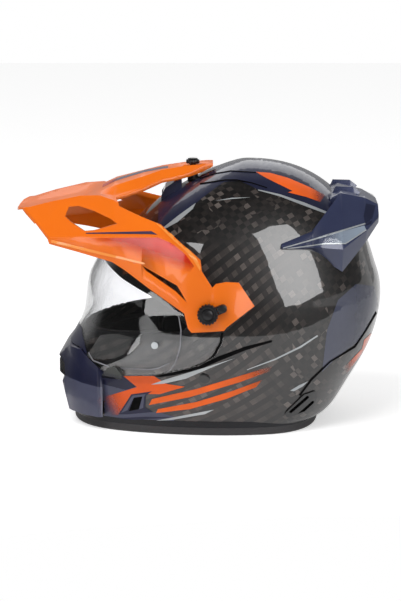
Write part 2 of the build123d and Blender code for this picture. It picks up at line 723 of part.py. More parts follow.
fin_y = shell_width * fin_share
fin_thick = 5.0
port_width = 24.0
port_height = 7.0
port_depth = 16.0
port_spread = 34.0
port_share = 0.8143
port_z = shell_height * port_share


def section_face(x, points):
    """A flat section across the helmet."""
    with BuildSketch(Plane.YZ.offset(x)) as section:
        with BuildLine():
            Polyline(*points, close=True)
        make_face()
    return section.sketch


def spoiler_wing(side):
    """One wing, on the side given by a sign."""
    sections = []
    for x, points in wing_shares:
        spots = [(side * y * shell_width, z * shell_height) for y, z in points]
        sections.append(section_face(x * shell_length, spots))
    with BuildPart() as wing:
        loft(sections=sections, ruled=True)
    return wing.part


centre_sections = []
for x, half, edge, middle, low in centre_shares:
    y = half * shell_width
    spots = [
        (-y, low * shell_height), (-y, edge * shell_height), (0, middle * shell_height),
        (y, edge * shell_height), (y, low * shell_height),
    ]
    centre_sections.append(section_face(x * shell_length, spots))
with BuildPart() as rear_spoiler:
    loft(sections=centre_sections, ruled=True)
    add([spoiler_wing(-1), spoiler_wing(1)])
    for side in (-1, 1):
        add(side_prism(placed(fin_shares), side * fin_y - fin_thick / 2, side * fin_y + fin_thick / 2))
    spoiler_back = shell_length * centre_shares[-1][0]
    with BuildSketch(Plane.YZ.offset(spoiler_back)):
        with Locations((-port_spread / 2, port_z), (port_spread / 2, port_z)):
            RectangleRounded(port_width, port_height, port_height / 3)
    extrude(amount=-port_depth, mode=Mode.SUBTRACT)
    add(outer_face, mode=Mode.SUBTRACT)
keep(rear_spoiler.part, "rear_spoiler")

# Exhaust louvres low at the back, let into the shell on both sides
vent_rise = 1.6
louvre_count = 3
louvre_width = 3.4
louvre_pitch = 9.0
louvre_length = 26.0
louvre_slant = 40.0
louvre_x_share = 0.3041
louvre_z_share = 0.1143
louvre_x = shell_length * louvre_x_share
louvre_z = shell_height * louvre_z_share
with BuildPart() as louvre_slots:
    with BuildSketch(Plane.XZ.offset(-wide)):
        with Locations(Location((louvre_x, louvre_z, 0), (0, 0, louvre_slant))):
            with GridLocations(louvre_length, louvre_pitch, 1, louvre_count):
                SlotOverall(louvre_length, louvre_width)
    extrude(amount=2 * wide)
with BuildPart() as neck_vents:
    add(side_prism(placed(neck_vent_shares), -wide, wide, eyeport_corner))
    add(mould(vent_rise), mode=Mode.INTERSECT)
    add([inner_face, louvre_slots.part], mode=Mode.SUBTRACT)
keep(neck_vents.part, "neck_vents")

# Chin strap, its rivets and the two rings that it is threaded through
strap_width = 25.0
strap_thick = 1.8
strap_level = 13.2
strap_bend = 1.5
strap_path_shares = ((0.4462, 0.2536), (0.4256, 0.150), (0.4084, 0.075), (0.3706, 0.0471))
strap_end_y = -45.0
strap_turn_y = 24.0
ring_bar_y = 36.0
ring_bow_y = 8.0
ring_wire = 2.6
ring_width = 33.0
ring_corner = 3.0
ring_round = 0.8
ring_strap_end = 62.0
ring_level = strap_level + strap_thick / 2
fold_level = ring_level + 2 * ring_wire + strap_thick / 2
wrap_y = ring_bar_y - ring_wire / 2 - strap_bend
strap_side = [(y * shell_width, z * shell_height) for y, z in strap_path_shares[:-1]]
strap_side.append((strap_path_shares[-1][0] * shell_width, strap_level))
rivet_hole = across_rod(rivet_x, rivet_z, rivet_shank_radius, -wide, wide)


def webbing(points):
    """A strap that follows a path seen from the front."""
    with BuildPart() as strap:
        with BuildSketch(Plane.YZ.offset(rivet_x - strap_width / 2)):
            with BuildLine() as path:
                FilletPolyline(*points, radius=strap_bend)
            trace(path.line, strap_thick)
        extrude(amount=strap_width)
        add(rivet_hole, mode=Mode.SUBTRACT)
    return strap.part


with BuildPart() as chin_strap:
    add(webbing([(-y, z) for y, z in strap_side] + [
        (strap_turn_y, strap_level), (strap_turn_y, fold_level), (strap_end_y, fold_level)]))
keep(chin_strap.part, "chin_strap")
with BuildPart() as ring_strap:
    add(webbing(strap_side + [(wrap_y, strap_level), (wrap_y, fold_level), (ring_strap_end, fold_level)]))
keep(ring_strap.part, "ring_strap")

with BuildPart() as d_rings:
    for level in (ring_level, ring_level + ring_wire):
        with BuildSketch(Plane.XY.offset(level)):
            with BuildLine():
                Line(
                    (rivet_x - ring_width / 2, ring_bar_y + ring_wire / 2),
                    (rivet_x + ring_width / 2, ring_bar_y + ring_wire / 2),
                )
                ThreePointArc(
                    (rivet_x + ring_width / 2, ring_bar_y + ring_wire / 2),
                    (rivet_x, ring_bow_y),
                    (rivet_x - ring_width / 2, ring_bar_y + ring_wire / 2),
                )
            bow = make_face()
            fillet(bow.vertices(), ring_corner)
            offset(amount=-ring_wire, mode=Mode.SUBTRACT)
        extrude(amount=ring_wire)
    fillet(d_rings.edges().filter_by(GeomType.CIRCLE) + d_rings.edges().filter_by(Axis.X), ring_round)
keep(d_rings.part, "d_rings")

rivet_face_share = 0.4645
rivet_head_radius = 5.8
rivet_head = 1.8
rivet_cap_radius = 4.0
rivet_cap = 0.8
cap_gap = 0.75
strap_mid_share = 0.4410
rivet_face = rivet_face_share * shell_width
strap_face = strap_mid_share * shell_width - strap_thick / 2
with BuildPart() as strap_rivets:
    for side in (-1, 1):
        with BuildSketch(Plane.XZ.offset(-side * (rivet_face + rivet_head))):
            with Locations((rivet_x, rivet_z)):
                Circle(rivet_head_radius)
        extrude(amount=side * 2 * rivet_head)
    add(outer_face, mode=Mode.SUBTRACT)
    for side in (-1, 1):
        rows = (
            (rivet_shank_radius - stem_gap, strap_face - cap_gap, rivet_face + rivet_head / 2),
            (rivet_cap_radius, strap_face - cap_gap - rivet_cap, strap_face - cap_gap),
        )
        for radius, near, far in rows:
            with BuildSketch(Plane.XZ.offset(-side * far)):
                with Locations((rivet_x, rivet_z)):
                    Circle(radius)
            extrude(amount=side * (far - near))
keep(strap_rivets.part, "strap_rivets")
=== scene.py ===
from functools import partial
from math import atan2, cos, pi, radians, sin

import bpy
import numpy as np
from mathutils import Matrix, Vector
from mathutils.bvhtree import BVHTree
from mathutils.geometry import delaunay_2d_cdt


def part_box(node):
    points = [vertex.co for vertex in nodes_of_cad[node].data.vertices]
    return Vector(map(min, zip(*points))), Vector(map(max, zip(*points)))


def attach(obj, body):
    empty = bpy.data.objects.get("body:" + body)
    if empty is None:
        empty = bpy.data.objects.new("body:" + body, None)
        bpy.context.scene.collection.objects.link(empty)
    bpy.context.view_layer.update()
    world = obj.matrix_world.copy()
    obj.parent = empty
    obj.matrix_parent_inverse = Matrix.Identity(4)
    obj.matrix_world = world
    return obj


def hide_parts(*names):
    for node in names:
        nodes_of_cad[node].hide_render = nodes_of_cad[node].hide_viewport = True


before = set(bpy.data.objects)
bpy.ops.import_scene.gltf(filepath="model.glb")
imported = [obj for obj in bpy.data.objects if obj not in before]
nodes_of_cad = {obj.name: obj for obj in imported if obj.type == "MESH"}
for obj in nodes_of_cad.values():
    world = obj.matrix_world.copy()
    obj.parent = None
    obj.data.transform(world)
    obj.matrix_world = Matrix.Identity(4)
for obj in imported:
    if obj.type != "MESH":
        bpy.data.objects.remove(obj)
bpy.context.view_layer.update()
mm = 0.001

# Camera at the photographer's place, level with the crown and looking straight at the left side.
# The helmet fills the middle of a tall frame, so a long lens stands well back.
view_rise = radians(10)
view_distance = 2600 * mm
aim = Vector((0.65 * mm, 0, 125.8 * mm))
photo_size = (401, 601)
pixel = 1.08 * mm
sensor = 36
camera_data = bpy.data.cameras.new("camera")
camera_data.sensor_width = sensor
camera_data.lens = sensor * view_distance / (photo_size[1] * pixel)
camera = bpy.data.objects.new("camera", camera_data)
camera.location = aim + view_distance * Vector((0, -cos(view_rise), sin(view_rise)))
camera.rotation_euler = (pi / 2 - view_rise, 0, 0)
bpy.context.scene.collection.objects.link(camera)
bpy.context.scene.camera = camera
bpy.context.scene.view_settings.view_transform = "Standard"


def sight(x, y):
    """The direction in which a pixel of the photograph is seen."""
    right = Vector((1, 0, 0))
    up = Vector((0, sin(view_rise), cos(view_rise)))
    ahead = Vector((0, cos(view_rise), -sin(view_rise)))
    across = (x - photo_size[0] / 2) * pixel
    rise = (photo_size[1] / 2 - y) * pixel
    return (ahead * view_distance + right * across + up * rise).normalized()


# Outer shell, moulded in one piece: a carbon skin in a wide checker of flat tows, under thick gloss lacquer.
# The cloth is draped over the crown, so its tows swing round from the front of the helmet to the back.
# Low on the sides it is stretched, and the checker passes into raised and sunk strips,
# with light painted on the raised ones and shade on the sunk ones.
tow = 6.6 * mm
drape_centre = (40 * mm, 0, 130 * mm)
drape_radius = 150 * mm
drape_turn = radians(55)
strips_start, strips_full = 100 * mm, 60 * mm
strips_top, strips_low = 212 * mm, 190 * mm
turned_scale, turned_above = 16.0, 0.56
hidden_share = 0.55
threads_across, threads_along = 9, 0.6
lit_tow = (0.0, (26, 22, 21)), (0.5, (38, 33, 31)), (0.78, (60, 53, 50)), (1.0, (118, 108, 103))
dim_tow = (0.0, (12, 11, 11)), (0.7, (19, 17, 16)), (1.0, (32, 28, 27))
lit_strip_tow = (0.0, (50, 43, 40)), (0.5, (70, 61, 57)), (1.0, (104, 94, 89))
shaded_strip_tow = (0.0, (15, 12, 12)), (1.0, (23, 18, 18))
thread_shade = (0.25, (188, 188, 188)), (0.75, (255, 255, 255))


def tone(red, green, blue):
    """A display colour, from 0 to 255, as the shader's linear colour."""
    parts = [c / 255 for c in (red, green, blue)]
    return (*[c / 12.92 if c <= 0.04045 else ((c + 0.055) / 1.055) ** 2.4 for c in parts], 1)


def new_finish(name, **sockets):
    """A material with one Principled shader, and its sockets set by name."""
    finish = bpy.data.materials.new(name)
    finish.use_nodes = True
    shader = finish.node_tree.nodes["Principled BSDF"]
    for socket, value in sockets.items():
        shader.inputs[socket.replace("_", " ")].default_value = value
    return finish, shader


def put(finish, kind, *feeds, **settings):
    """Adds a node, links or sets its inputs in order, with None for one left alone, and returns it."""
    node = finish.node_tree.nodes.new("ShaderNode" + kind)
    for name, value in settings.items():
        setattr(node, name, value)
    for socket, value in zip(node.inputs, feeds):
        if isinstance(value, bpy.types.NodeSocket):
            finish.node_tree.links.new(value, socket)
        elif value is not None:
            socket.default_value = value
    return node


def feed(finish, output, shader, socket):
    """Links a node's output to one of the shader's sockets."""
    finish.node_tree.links.new(output, shader.inputs[socket])


def sums(finish, operation, *feeds):
    """A Math node's result."""
    return put(finish, "Math", *feeds, operation=operation).outputs[0]


def mixed(finish, share, low, high, **settings):
    """One colour passing into another as share goes from 0 to 1."""
    other_kinds = [None] * 5
    return put(finish, "Mix", share, *other_kinds, low, high, data_type="RGBA", **settings).outputs[2]


def ranged(finish, value, low, high, start, end, **settings):
    """A value between low and high, carried over to the range from start to end."""
    return put(finish, "MapRange", value, low, high, start, end, **settings).outputs[0]


def spot_on(finish):
    """The point of the surface in the frame at rest."""
    return put(finish, "TexCoord").outputs["Object"]


def axes_of(finish):
    """The point of the surface split into X, Y and Z."""
    return put(finish, "SeparateXYZ", spot_on(finish)).outputs


def noise(finish, scale, detail, spot=None):
    """Soft noise that is fixed to the piece."""
    return put(finish, "TexNoise", spot or spot_on(finish), None, scale, detail).outputs[0]


def ramp(finish, value, *stops):
    """A colour ramp's colour, from stops of a place and a display colour."""
    node = put(finish, "ValToRGB", value)
    points = node.color_ramp.elements
    while len(points) < len(stops):
        points.new(0.5)
    for point, (spot, colour) in zip(points, stops):
        point.position = spot
        point.color = tone(*colour)
    return node.outputs[0]


def weave(finish):
    """Which tow is on top, its number, the drape's two directions, its strip, and where strips take over."""
    work = partial(sums, finish)
    x, y, z = axes_of(finish)
    ahead = work("SUBTRACT", drape_centre[0], x)
    aside = work("ABSOLUTE", y)
    above = work("SUBTRACT", z, drape_centre[2])
    ring = work("SQRT", work("ADD", work("POWER", aside, 2), work("POWER", above, 2)))
    along = work("MULTIPLY", work("ARCTAN2", ring, ahead), drape_radius)
    around = work("MULTIPLY", work("ARCTAN2", above, aside), ring)
    lean, rest = cos(drape_turn) / tow, sin(drape_turn) / tow
    first = work("SUBTRACT", work("MULTIPLY", along, lean), work("MULTIPLY", around, rest))
    second = work("ADD", work("MULTIPLY", along, rest), work("MULTIPLY", around, lean))
    column, row = work("FLOOR", first), work("FLOOR", second)
    over = work("MODULO", work("ABSOLUTE", work("ADD", column, row)), 2)
    cell = put(finish, "CombineXYZ", column, row, 0).outputs[0]
    own = put(finish, "TexWhiteNoise", cell, noise_dimensions="3D").outputs[0]
    strip = work("MODULO", work("ABSOLUTE", column), 2)
    front = ranged(finish, x, strips_start, strips_full, 0.0, 1.0, interpolation_type="SMOOTHSTEP")
    low = ranged(finish, z, strips_top, strips_low, 0.0, 1.0, interpolation_type="SMOOTHSTEP")
    return over, own, first, second, strip, work("MULTIPLY", front, low)


def carbon_finish():
    """Carbon tows of uneven brightness, with the fibres in them, under gloss lacquer."""
    finish, shader = new_finish(
        "carbon", Roughness=0.42, Coat_Weight=1.0, Coat_Roughness=0.03, Coat_IOR=1.62,
        Specular_IOR_Level=0.35,
    )
    work = partial(sums, finish)
    over, own, first, second, strip, in_strips = weave(finish)
    turned = work("GREATER_THAN", noise(finish, turned_scale, 2.0), turned_above)
    facing = work("ABSOLUTE", work("SUBTRACT", over, turned))
    checker = mixed(finish, facing, ramp(finish, own, *dim_tow), ramp(finish, own, *lit_tow))
    # Painted light and shade: the raised strips are coloured lighter as lit, the sunk ones darker as shaded.
    lit_strip, shaded_strip = ramp(finish, own, *lit_strip_tow), ramp(finish, own, *shaded_strip_tow)
    hidden = mixed(finish, hidden_share, lit_strip, shaded_strip)
    strips = mixed(finish, strip, mixed(finish, over, lit_strip, hidden), shaded_strip)
    base = mixed(finish, in_strips, checker, strips)
    run = put(finish, "CombineXYZ", first, second, 0).outputs[0]
    warp = put(finish, "VectorMath", run, (threads_across, threads_along, 1), operation="MULTIPLY").outputs[0]
    weft = put(finish, "VectorMath", run, (threads_along, threads_across, 1), operation="MULTIPLY").outputs[0]
    threads = put(finish, "Mix", over, None, None, None, warp, weft, data_type="VECTOR").outputs[1]
    shade = ramp(finish, noise(finish, 1.0, 3.0, threads), *thread_shade)
    feed(finish, mixed(finish, 1.0, base, shade, blend_type="MULTIPLY"), shader, "Base Color")
    return finish


def dress(node, finish):
    """Gives a CAD node its finish."""
    materials = nodes_of_cad[node].data.materials
    materials.clear()
    materials.append(finish)


dress("shell", carbon_finish())

# Chin panels on the shell and the guard: navy above the crease, slate below it, and a sprayed orange wedge
# that fades forward. The slate is paint and also the floor's reflection on the lower chin, painted into it.
# They are masked and sprayed under the lacquer, and the intake slot's opening is painted black as its shade.
# Each film is laid out by where it is seen in the photograph, and repeated on the far side.
film_lift = 0.14 * mm
film_step = 2.4
film_edge = 9 * mm
navy_tones = (30, 33, 62), (23, 25, 50)
slate_and_reflection_tones = (82, 85, 106), (70, 72, 93)
paint_coat = {"Roughness": 0.38, "Coat_Roughness": 0.03, "Coat_IOR": 1.6}


def skin_of(*names):
    """The surfaces of CAD nodes, to lay things on."""
    points, faces = [], []
    for name in names:
        mesh = nodes_of_cad[name].data
        start = len(points)
        points += [v.co.copy() for v in mesh.vertices]
        faces += [[start + i for i in p.vertices] for p in mesh.polygons]
    return BVHTree.FromPolygons(points, faces)


def seen_on(skin, x, y):
    """Where a pixel of the photograph meets a surface, and the surface's normal there."""
    spot, normal, _, _ = skin.ray_cast(camera.location, sight(x, y))
    return spot, normal


def on(skin, x, y):
    """The point of a surface at a pixel of the photograph."""
    return seen_on(skin, x, y)[0]


def add_mesh(name, points, faces, finish):
    """A new smooth mesh piece."""
    mesh = bpy.data.meshes.new(name)
    mesh.from_pydata(points, [], faces)
    mesh.validate()
    piece = bpy.data.objects.new(name, mesh)
    bpy.context.scene.collection.objects.link(piece)
    mesh.materials.append(finish)
    for face in mesh.polygons:
        face.use_smooth = True
    return piece


def lay_sheet(name, points, faces, finish, body, normals=None):
    """A thin sheet on a body, of the points that its faces use, shaded by the surface's normals if given."""
    used = sorted({corner for face in faces for corner in face})
    index = {corner: number for number, corner in enumerate(used)}
    piece = add_mesh(name, [points[c] for c in used], [[index[c] for c in face] for face in faces], finish)
    if normals is not None:
        piece.data.normals_split_custom_set_from_vertices([normals[c] for c in used])
    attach(piece, body)


def longest_side(spots):
    """The longest side of a face."""
    return max((spots[i] - spots[i - 1]).length for i in range(len(spots)))


def cut_outline(outline, step):
    """Fills an outline with a grid of points and triangles."""
    points = []
    for start, end in zip(outline, outline[1:] + outline[:1]):
        count = max(1, int((Vector(end) - Vector(start)).length / step))
        points += [Vector(start).lerp(Vector(end), k / count) for k in range(count)]
    ring = list(range(len(points)))
    low_x, low_y = (min(p[axis] for p in outline) for axis in (0, 1))
    high_x, high_y = (max(p[axis] for p in outline) for axis in (0, 1))
    y, odd = low_y + step, 0
    while y < high_y:
        x = low_x + step * (1 + odd / 2)
        while x < high_x:
            points.append(Vector((x, y)))
            x += step
        y += step * 0.87
        odd = 1 - odd
    flat, _, triangles, _, _, _ = delaunay_2d_cdt(points, [], [ring], 1, 1e-6)
    return flat, triangles


def film(name, finish, slot, layer, outline, skin, body="helmet", step=film_step, longest=film_edge):
    """A film of paint with an outline in the photograph's pixels, on the near side and mirrored."""
    flat, triangles = cut_outline(outline, step)
    hits = [seen_on(skin, *spot) for spot in flat]
    points = [None if spot is None else spot + normal * (film_lift * layer) for spot, normal in hits]
    faces = []
    for triangle in triangles:
        corners = [points[i] for i in triangle]
        if None not in corners and longest_side(corners) <= longest:
            faces.append(triangle)
    for side, way in (("left", 1), ("right", -1)):
        shown = [None if p is None else (p.x, p.y * way, p.z) for p in points]
        normals = [None if n is None else (n.x, n.y * way, n.z) for _, n in hits]
        turned = [face[::-way] for face in faces]
        lay_sheet(f"{name}_{side}", shown, turned, finish, body, normals)


def dimmed(colour, share):
    """A display colour at a share of its strength."""
    return tuple(c * share for c in colour)


def weighed(finish, first, share, second):
    """A share of the first value, and the rest of the second."""
    parts = sums(finish, "MULTIPLY", first, share), sums(finish, "MULTIPLY", second, 1 - share)
    return sums(finish, "ADD", *parts)


def lacquer(name, colour, deep, flake=0.0, gloss=1.0):
    """Gloss lacquer over an even colour, a little deeper in patches, with fine metal flake if asked."""
    finish, shader = new_finish(name, Coat_Weight=gloss, Metallic=flake, Specular_IOR_Level=0.3, **paint_coat)
    grain = weighed(finish, noise(finish, 22.0, 3.0), 0.75, noise(finish, 2600.0, 1.0))
    feed(finish, ramp(finish, grain, (0.3, deep), (0.7, colour)), shader, "Base Color")
    return finish


def mottled(name, dark, pale, scale, detail, ends=(0.3, 0.7), **sockets):
    """A finish that wanders between two colours in soft patches."""
    finish, shader = new_finish(name, **sockets)
    patches = noise(finish, scale, detail)
    feed(finish, ramp(finish, patches, (ends[0], dark), (ends[1], pale)), shader, "Base Color")
    return finish, shader


def fading(name, colour, start, end, floor=0.0, gloss=1.0):
    """A sprayed colour that thins out between two points of the frame."""
    finish, shader = mottled(
        name, dimmed(colour, 0.9), colour, 30.0, 2.0, Coat_Weight=gloss, Specular_IOR_Level=0.2, **paint_coat,
    )
    run = Vector(end) - Vector(start)
    offset = put(finish, "VectorMath", spot_on(finish), tuple(start), operation="SUBTRACT").outputs[0]
    unit = tuple(run / run.length_squared)
    along = put(finish, "VectorMath", offset, unit, operation="DOT_PRODUCT").outputs[1]
    loose = sums(finish, "MULTIPLY", sums(finish, "SUBTRACT", noise(finish, 900.0, 2.0), 0.5), 0.35)
    reach = sums(finish, "ADD", along, loose)
    cover = ranged(finish, reach, 0.0, 1.0, 1.0, floor, interpolation_type="SMOOTHSTEP")
    feed(finish, cover, shader, "Alpha")
    return finish


helmet_skin = skin_of("shell", "chin_guard")
shell_skin = skin_of("shell")
chin_navy = lacquer("chin_navy_lacquer", *navy_tones, gloss=0.2)
# Slate for the lower chin, with the floor's reflection there painted into its colour.
chin_slate = lacquer("chin_slate_lacquer", *slate_and_reflection_tones, gloss=0.2)
groove_black, _ = mottled(
    "groove_black", (7, 7, 8), (20, 19, 20), 140.0, 3.0, (0.3, 0.8), Roughness=0.85, Specular_IOR_Level=0.05,
)
flame_start, flame_end = on(shell_skin, 126, 395), on(shell_skin, 103, 404)
flame_paint = fading("chin_flame_lacquer", (255, 98, 12), flame_start, flame_end, 0.0, 0.35)
chin_films = (
    ("chin_navy", chin_navy, "navy_lacquer", 1,
     [(101.5, 383.6), (101.5, 370), (112, 372), (124, 376), (137, 388), (126, 391)]),
    ("chin_slate", chin_slate, "navy_lacquer", 1,
     [(101.5, 383.6), (126, 390), (137, 386.5), (150, 392), (128, 411), (160, 412.5), (175, 417),
      (172, 426.5), (101.5, 426.5)]),
    ("chin_stripe", chin_navy, "navy_lacquer", 3,
     [(86, 423.5), (98, 420), (117, 418), (146, 416.6), (172, 417.4), (146, 419), (117, 420.6)]),
    ("chin_vent_edge", chin_navy, "navy_lacquer", 3,
     [(131.4, 394.2), (152, 391.2), (145.9, 395.5), (145.3, 407), (152.6, 411.8), (127.7, 414.2),
      (118.6, 414.2)]),
    ("chin_vent_wall", chin_slate, "navy_lacquer", 4,
     [(132.6, 395.4), (146, 393.8), (144.2, 396.6), (143.4, 407.6), (139.4, 409.2), (142.6, 396.2),
      (134, 397.4), (127.6, 410), (121.4, 412.6)]),
    # The slot's opening is a black film of painted shade.
    ("chin_vent_slot", groove_black, "black_plastic", 5,
     [(134, 397.6), (142.4, 396.4), (138.8, 409), (129, 411)]),
    ("chin_flame", flame_paint, "orange_lacquer", 2,
     [(80, 404.5), (106, 396.4), (137, 387), (123.6, 376), (154, 376), (166, 383.7), (184.8, 386.7),
      (160, 394), (146, 394), (131, 395), (118, 415), (85.8, 413.8)]),
)
for row in chin_films:
    film(*row, helmet_skin)

# Side stripes: plain slanted bars of sprayed orange, masked along both edges.
# They thin out toward the back, over the bare carbon.
bar_start, bar_end = on(shell_skin, 238, 386), on(shell_skin, 278, 368)
bar_paint = fading("bar_lacquer", (255, 104, 10), bar_start, bar_end, 0.0, 0.4)
side_bars = (
    [(152, 399), (196, 389), (246, 374), (272, 366), (270, 371), (240, 382), (190, 397), (149, 405)],
    [(158, 409), (196, 402), (232, 391), (262, 380), (256, 387), (226, 399), (190, 409), (156, 413)],
)
for number, bar in enumerate(side_bars, 1):
    film(f"side_bar_{number}", bar_paint, "orange_lacquer", 2, bar, helmet_skin)

# Silver darts: slim pointed strokes beside the bars, in front of the louvres and along the crown band.
# One silver stroke on the lower panel's crease is instead a painted highlight of that crease.
# The paint is a pale lacquer with fine aluminium flake, sprayed between masks.
silver = lacquer("silver_lacquer", (196, 200, 202), (158, 164, 168), 0.35)
silver_strokes_and_highlight = (
    [(151, 384.5), (165, 379.5), (200, 369), (235, 358), (216, 365.5), (186, 378.5), (164, 383.5)],
    [(156, 420.5), (185, 415), (214, 409.5), (205, 414), (170, 420)],
    [(290, 390.5), (299, 385), (308, 381), (303, 386), (294, 391)],
    # A painted highlight along the lower panel's crease, not a dart.
    [(247, 369.3), (275, 358.5), (300, 346), (317, 335), (318, 336), (301, 347.5), (275, 360), (247, 370)],
    [(163, 228), (178, 216), (196, 203), (193, 209), (178, 222), (165, 229)],
    [(215, 201), (232, 198), (251, 197.5), (232, 199.2)],
    [(258, 189.6), (280, 194.5), (305, 203), (330, 213.2), (328.5, 215), (303, 205.5), (279, 196.3),
     (258, 190.6)],
)
for number, stroke in enumerate(silver_strokes_and_highlight, 1):
    film(f"silver_dart_{number}", silver, "grey_plastic", 3, stroke, helmet_skin)

# Black grooves moulded in the shell and left matt, so that they hold dust.
# One sweeps up from the shield's edge, one bounds the rear panel, and two fine ones follow the crown.
groove_lines = (
    [(154, 376), (172, 372.6), (198, 366), (217, 357), (245, 346.6), (272, 340), (272, 342), (246, 350),
     (219, 361), (200, 369), (175, 375), (160, 377)],
    [(379, 309), (366, 331), (355, 347.4), (330, 362.4), (312, 380), (300, 396), (299, 394.5), (311, 378.6),
     (329.4, 361), (354, 346), (365, 330), (378, 307)],
    [(200, 178.2), (216, 173.2), (231, 170.7), (256, 172.4), (256, 173.3), (231, 171.7), (216, 174.2),
     (200, 179.4)],
    [(200, 183.3), (225, 179.7), (237, 179.7), (252, 182.7), (267, 187.6), (267, 188.6), (252, 183.9),
     (237, 181), (225, 181), (200, 184.8)],
)
for number, line in enumerate(groove_lines, 1):
    film(f"groove_line_{number}", groove_black, "black_plastic", 4, line, helmet_skin)

# Rear patch: a sprayed orange flash above the groove at the back, and a smoke grey tint in front of it.
# The tint is partly paint and partly the floor's reflection on the lower back, painted in.
# They lie where the shell turns away from the camera, so their films are cut finer.
rear_edge = 14 * mm
flash_start, flash_end = on(shell_skin, 358, 352), on(shell_skin, 343, 372)
flash_paint = fading("rear_flash_lacquer", (250, 100, 26), flash_start, flash_end)
rear_flash = [(340, 372), (349, 362), (362, 348.5), (364, 340), (377, 327), (373, 340), (362, 353),
              (352, 366), (345, 376)]
film("rear_flash", flash_paint, "orange_lacquer", 2, rear_flash, shell_skin, step=0.9, longest=rear_edge)
# The smoke grey tint is partly paint and partly the floor's reflection there, painted in.
tint_reflection_start, tint_reflection_end = on(shell_skin, 338, 330), on(shell_skin, 362, 325)
tint_reflection_paint = fading("rear_smoke_lacquer", (74, 78, 100), tint_reflection_start, tint_reflection_end, 0.75)
rear_smoke = [(322, 372), (327, 330), (338, 300), (356, 284), (374, 286), (378.5, 305), (372, 320),
              (356, 343), (337, 357)]
film("rear_smoke", tint_reflection_paint, "navy_lacquer", 1, rear_smoke, shell_skin, step=1.2, longest=rear_edge)

# Crown band: navy lacquer over the top of the shell, masked from the forehead to the spoiler.
# Its lower edge is read on the near side and mirrored, and an orange accent lies on each flank.
band_edge = [(158, 236), (163, 228), (178, 216), (196, 203), (205, 196), (224, 182), (240, 181), (258, 189.6),
             (280, 194.8), (305, 203.4), (330, 213.6), (342, 220)]
band_columns = 41
band_stations = 110


def crown_turn(spot):
    """The turn of a point about the helmet's long middle axis, from the side up to the top."""
    return atan2(spot.z - drape_centre[2], abs(spot.y))


def grid_faces(points, columns, fits=lambda spots: True):
    """Faces between points given row by row, where all four corners are there and fit together."""
    faces = []
    for row in range(0, len(points) - columns, columns):
        for start in range(row, row + columns - 1):
            corners = (start, start + columns, start + columns + 1, start + 1)
            spots = [points[c] for c in corners]
            if None not in spots and fits(spots):
                faces.append(corners)
    return faces


edge_spots = [spot for spot in (on(shell_skin, x, y) for x, y in band_edge) if spot is not None]
band_x = np.linspace(edge_spots[0].x, edge_spots[-1].x, band_stations)
band_low = np.interp(band_x, [spot.x for spot in edge_spots], [crown_turn(spot) for spot in edge_spots])
band_points, band_normals = [], []
for x, low in zip(band_x, band_low):
    for i in range(band_columns):
        turn = low + (pi - 2 * low) * i / (band_columns - 1)
        outward = Vector((0, -cos(turn), sin(turn)))
        spot, normal, _, _ = shell_skin.ray_cast(Vector((x, 0, drape_centre[2])) + outward, -outward)
        band_points.append(None if spot is None else spot + normal * film_lift)
        band_normals.append(normal)
band_faces = grid_faces(band_points, band_columns, lambda spots: longest_side(spots) < film_edge)
navy = lacquer("navy_lacquer", (40, 44, 74), (27, 30, 54), 0.2)
lay_sheet("crown_band", band_points, band_faces, navy, "helmet", band_normals)
accent_start, accent_end = on(shell_skin, 308, 194), on(shell_skin, 324, 200)
accent_paint = fading("accent_lacquer", (255, 104, 24), accent_start, accent_end, 0.15)
accent = [(256, 172), (270, 173), (288, 178), (309, 187), (325, 195), (320, 202), (306, 197), (288, 192.5),
          (292.5, 191), (275, 182.5), (264, 177)]
film("crown_accent", accent_paint, "orange_lacquer", 2, accent, shell_skin)

# Rubber round the eyeport and the base, pressed on and left matt.
# The base trim is what the helmet stands on, so its underside is scuffed paler.
# Its upper lip is a gloss black bead that follows the shell's edge.
trim_lip = 8.5 * mm
scuff_height = 4 * mm
matt_rubber, gloss_bead = 0.62, 0.24


def bump(finish, height, strength, depth, shader):
    """Raises the surface by a height pattern."""
    node = put(finish, "Bump", strength, depth)
    finish.node_tree.links.new(height, node.inputs["Height"])
    feed(finish, node.outputs[0], shader, "Normal")


def rubber_finish(name, colour, scuff, lip=None):
    """Matt rubber with fine grain, a scuffed underside, and a gloss bead above the height lip."""
    finish, shader = new_finish(name, Roughness=matt_rubber, Specular_IOR_Level=0.35)
    z = axes_of(finish)["Z"]
    grain = noise(finish, 900.0, 4.0)
    worn = sums(finish, "MULTIPLY", ranged(finish, z, scuff_height, 0.0, 0.0, 0.6), noise(finish, 120.0, 3.0))
    base = ramp(finish, grain, (0.2, dimmed(colour, 0.8)), (0.8, colour))
    shown = mixed(finish, worn, base, tone(*scuff))
    if lip is not None:
        beaded = ranged(finish, z, lip - 0.5 * mm, lip + 0.2 * mm, 0.0, 1.0)
        shown = mixed(finish, beaded, shown, tone(20, 20, 25))
        feed(finish, ranged(finish, beaded, 0.0, 1.0, matt_rubber, gloss_bead), shader, "Roughness")
    feed(finish, shown, shader, "Base Color")
    bump(finish, grain, 0.12, 0.3 * mm, shader)
    return finish


dress("eyeport_gasket", rubber_finish("gasket_rubber", (26, 26, 28), (60, 60, 62)))
dress("base_trim", rubber_finish("trim_rubber", (62, 60, 62), (96, 94, 94), trim_lip))

# Chin guard, its mesh frame, the shutter behind it, the hubs and the vents, injection moulded and screwed on.
# The guard and the brow intake are lacquered to match the shell, and the louvres are gloss black.
# The rest is bare black or grey plastic with a fine spark texture.
guard_crease = on(helmet_skin, 68, 376.6).z
crease_start, crease_fall, crease_blur = -133 * mm, 0.07, 0.3 * mm
guard_slate_and_reflection_pale = (84, 87, 108)


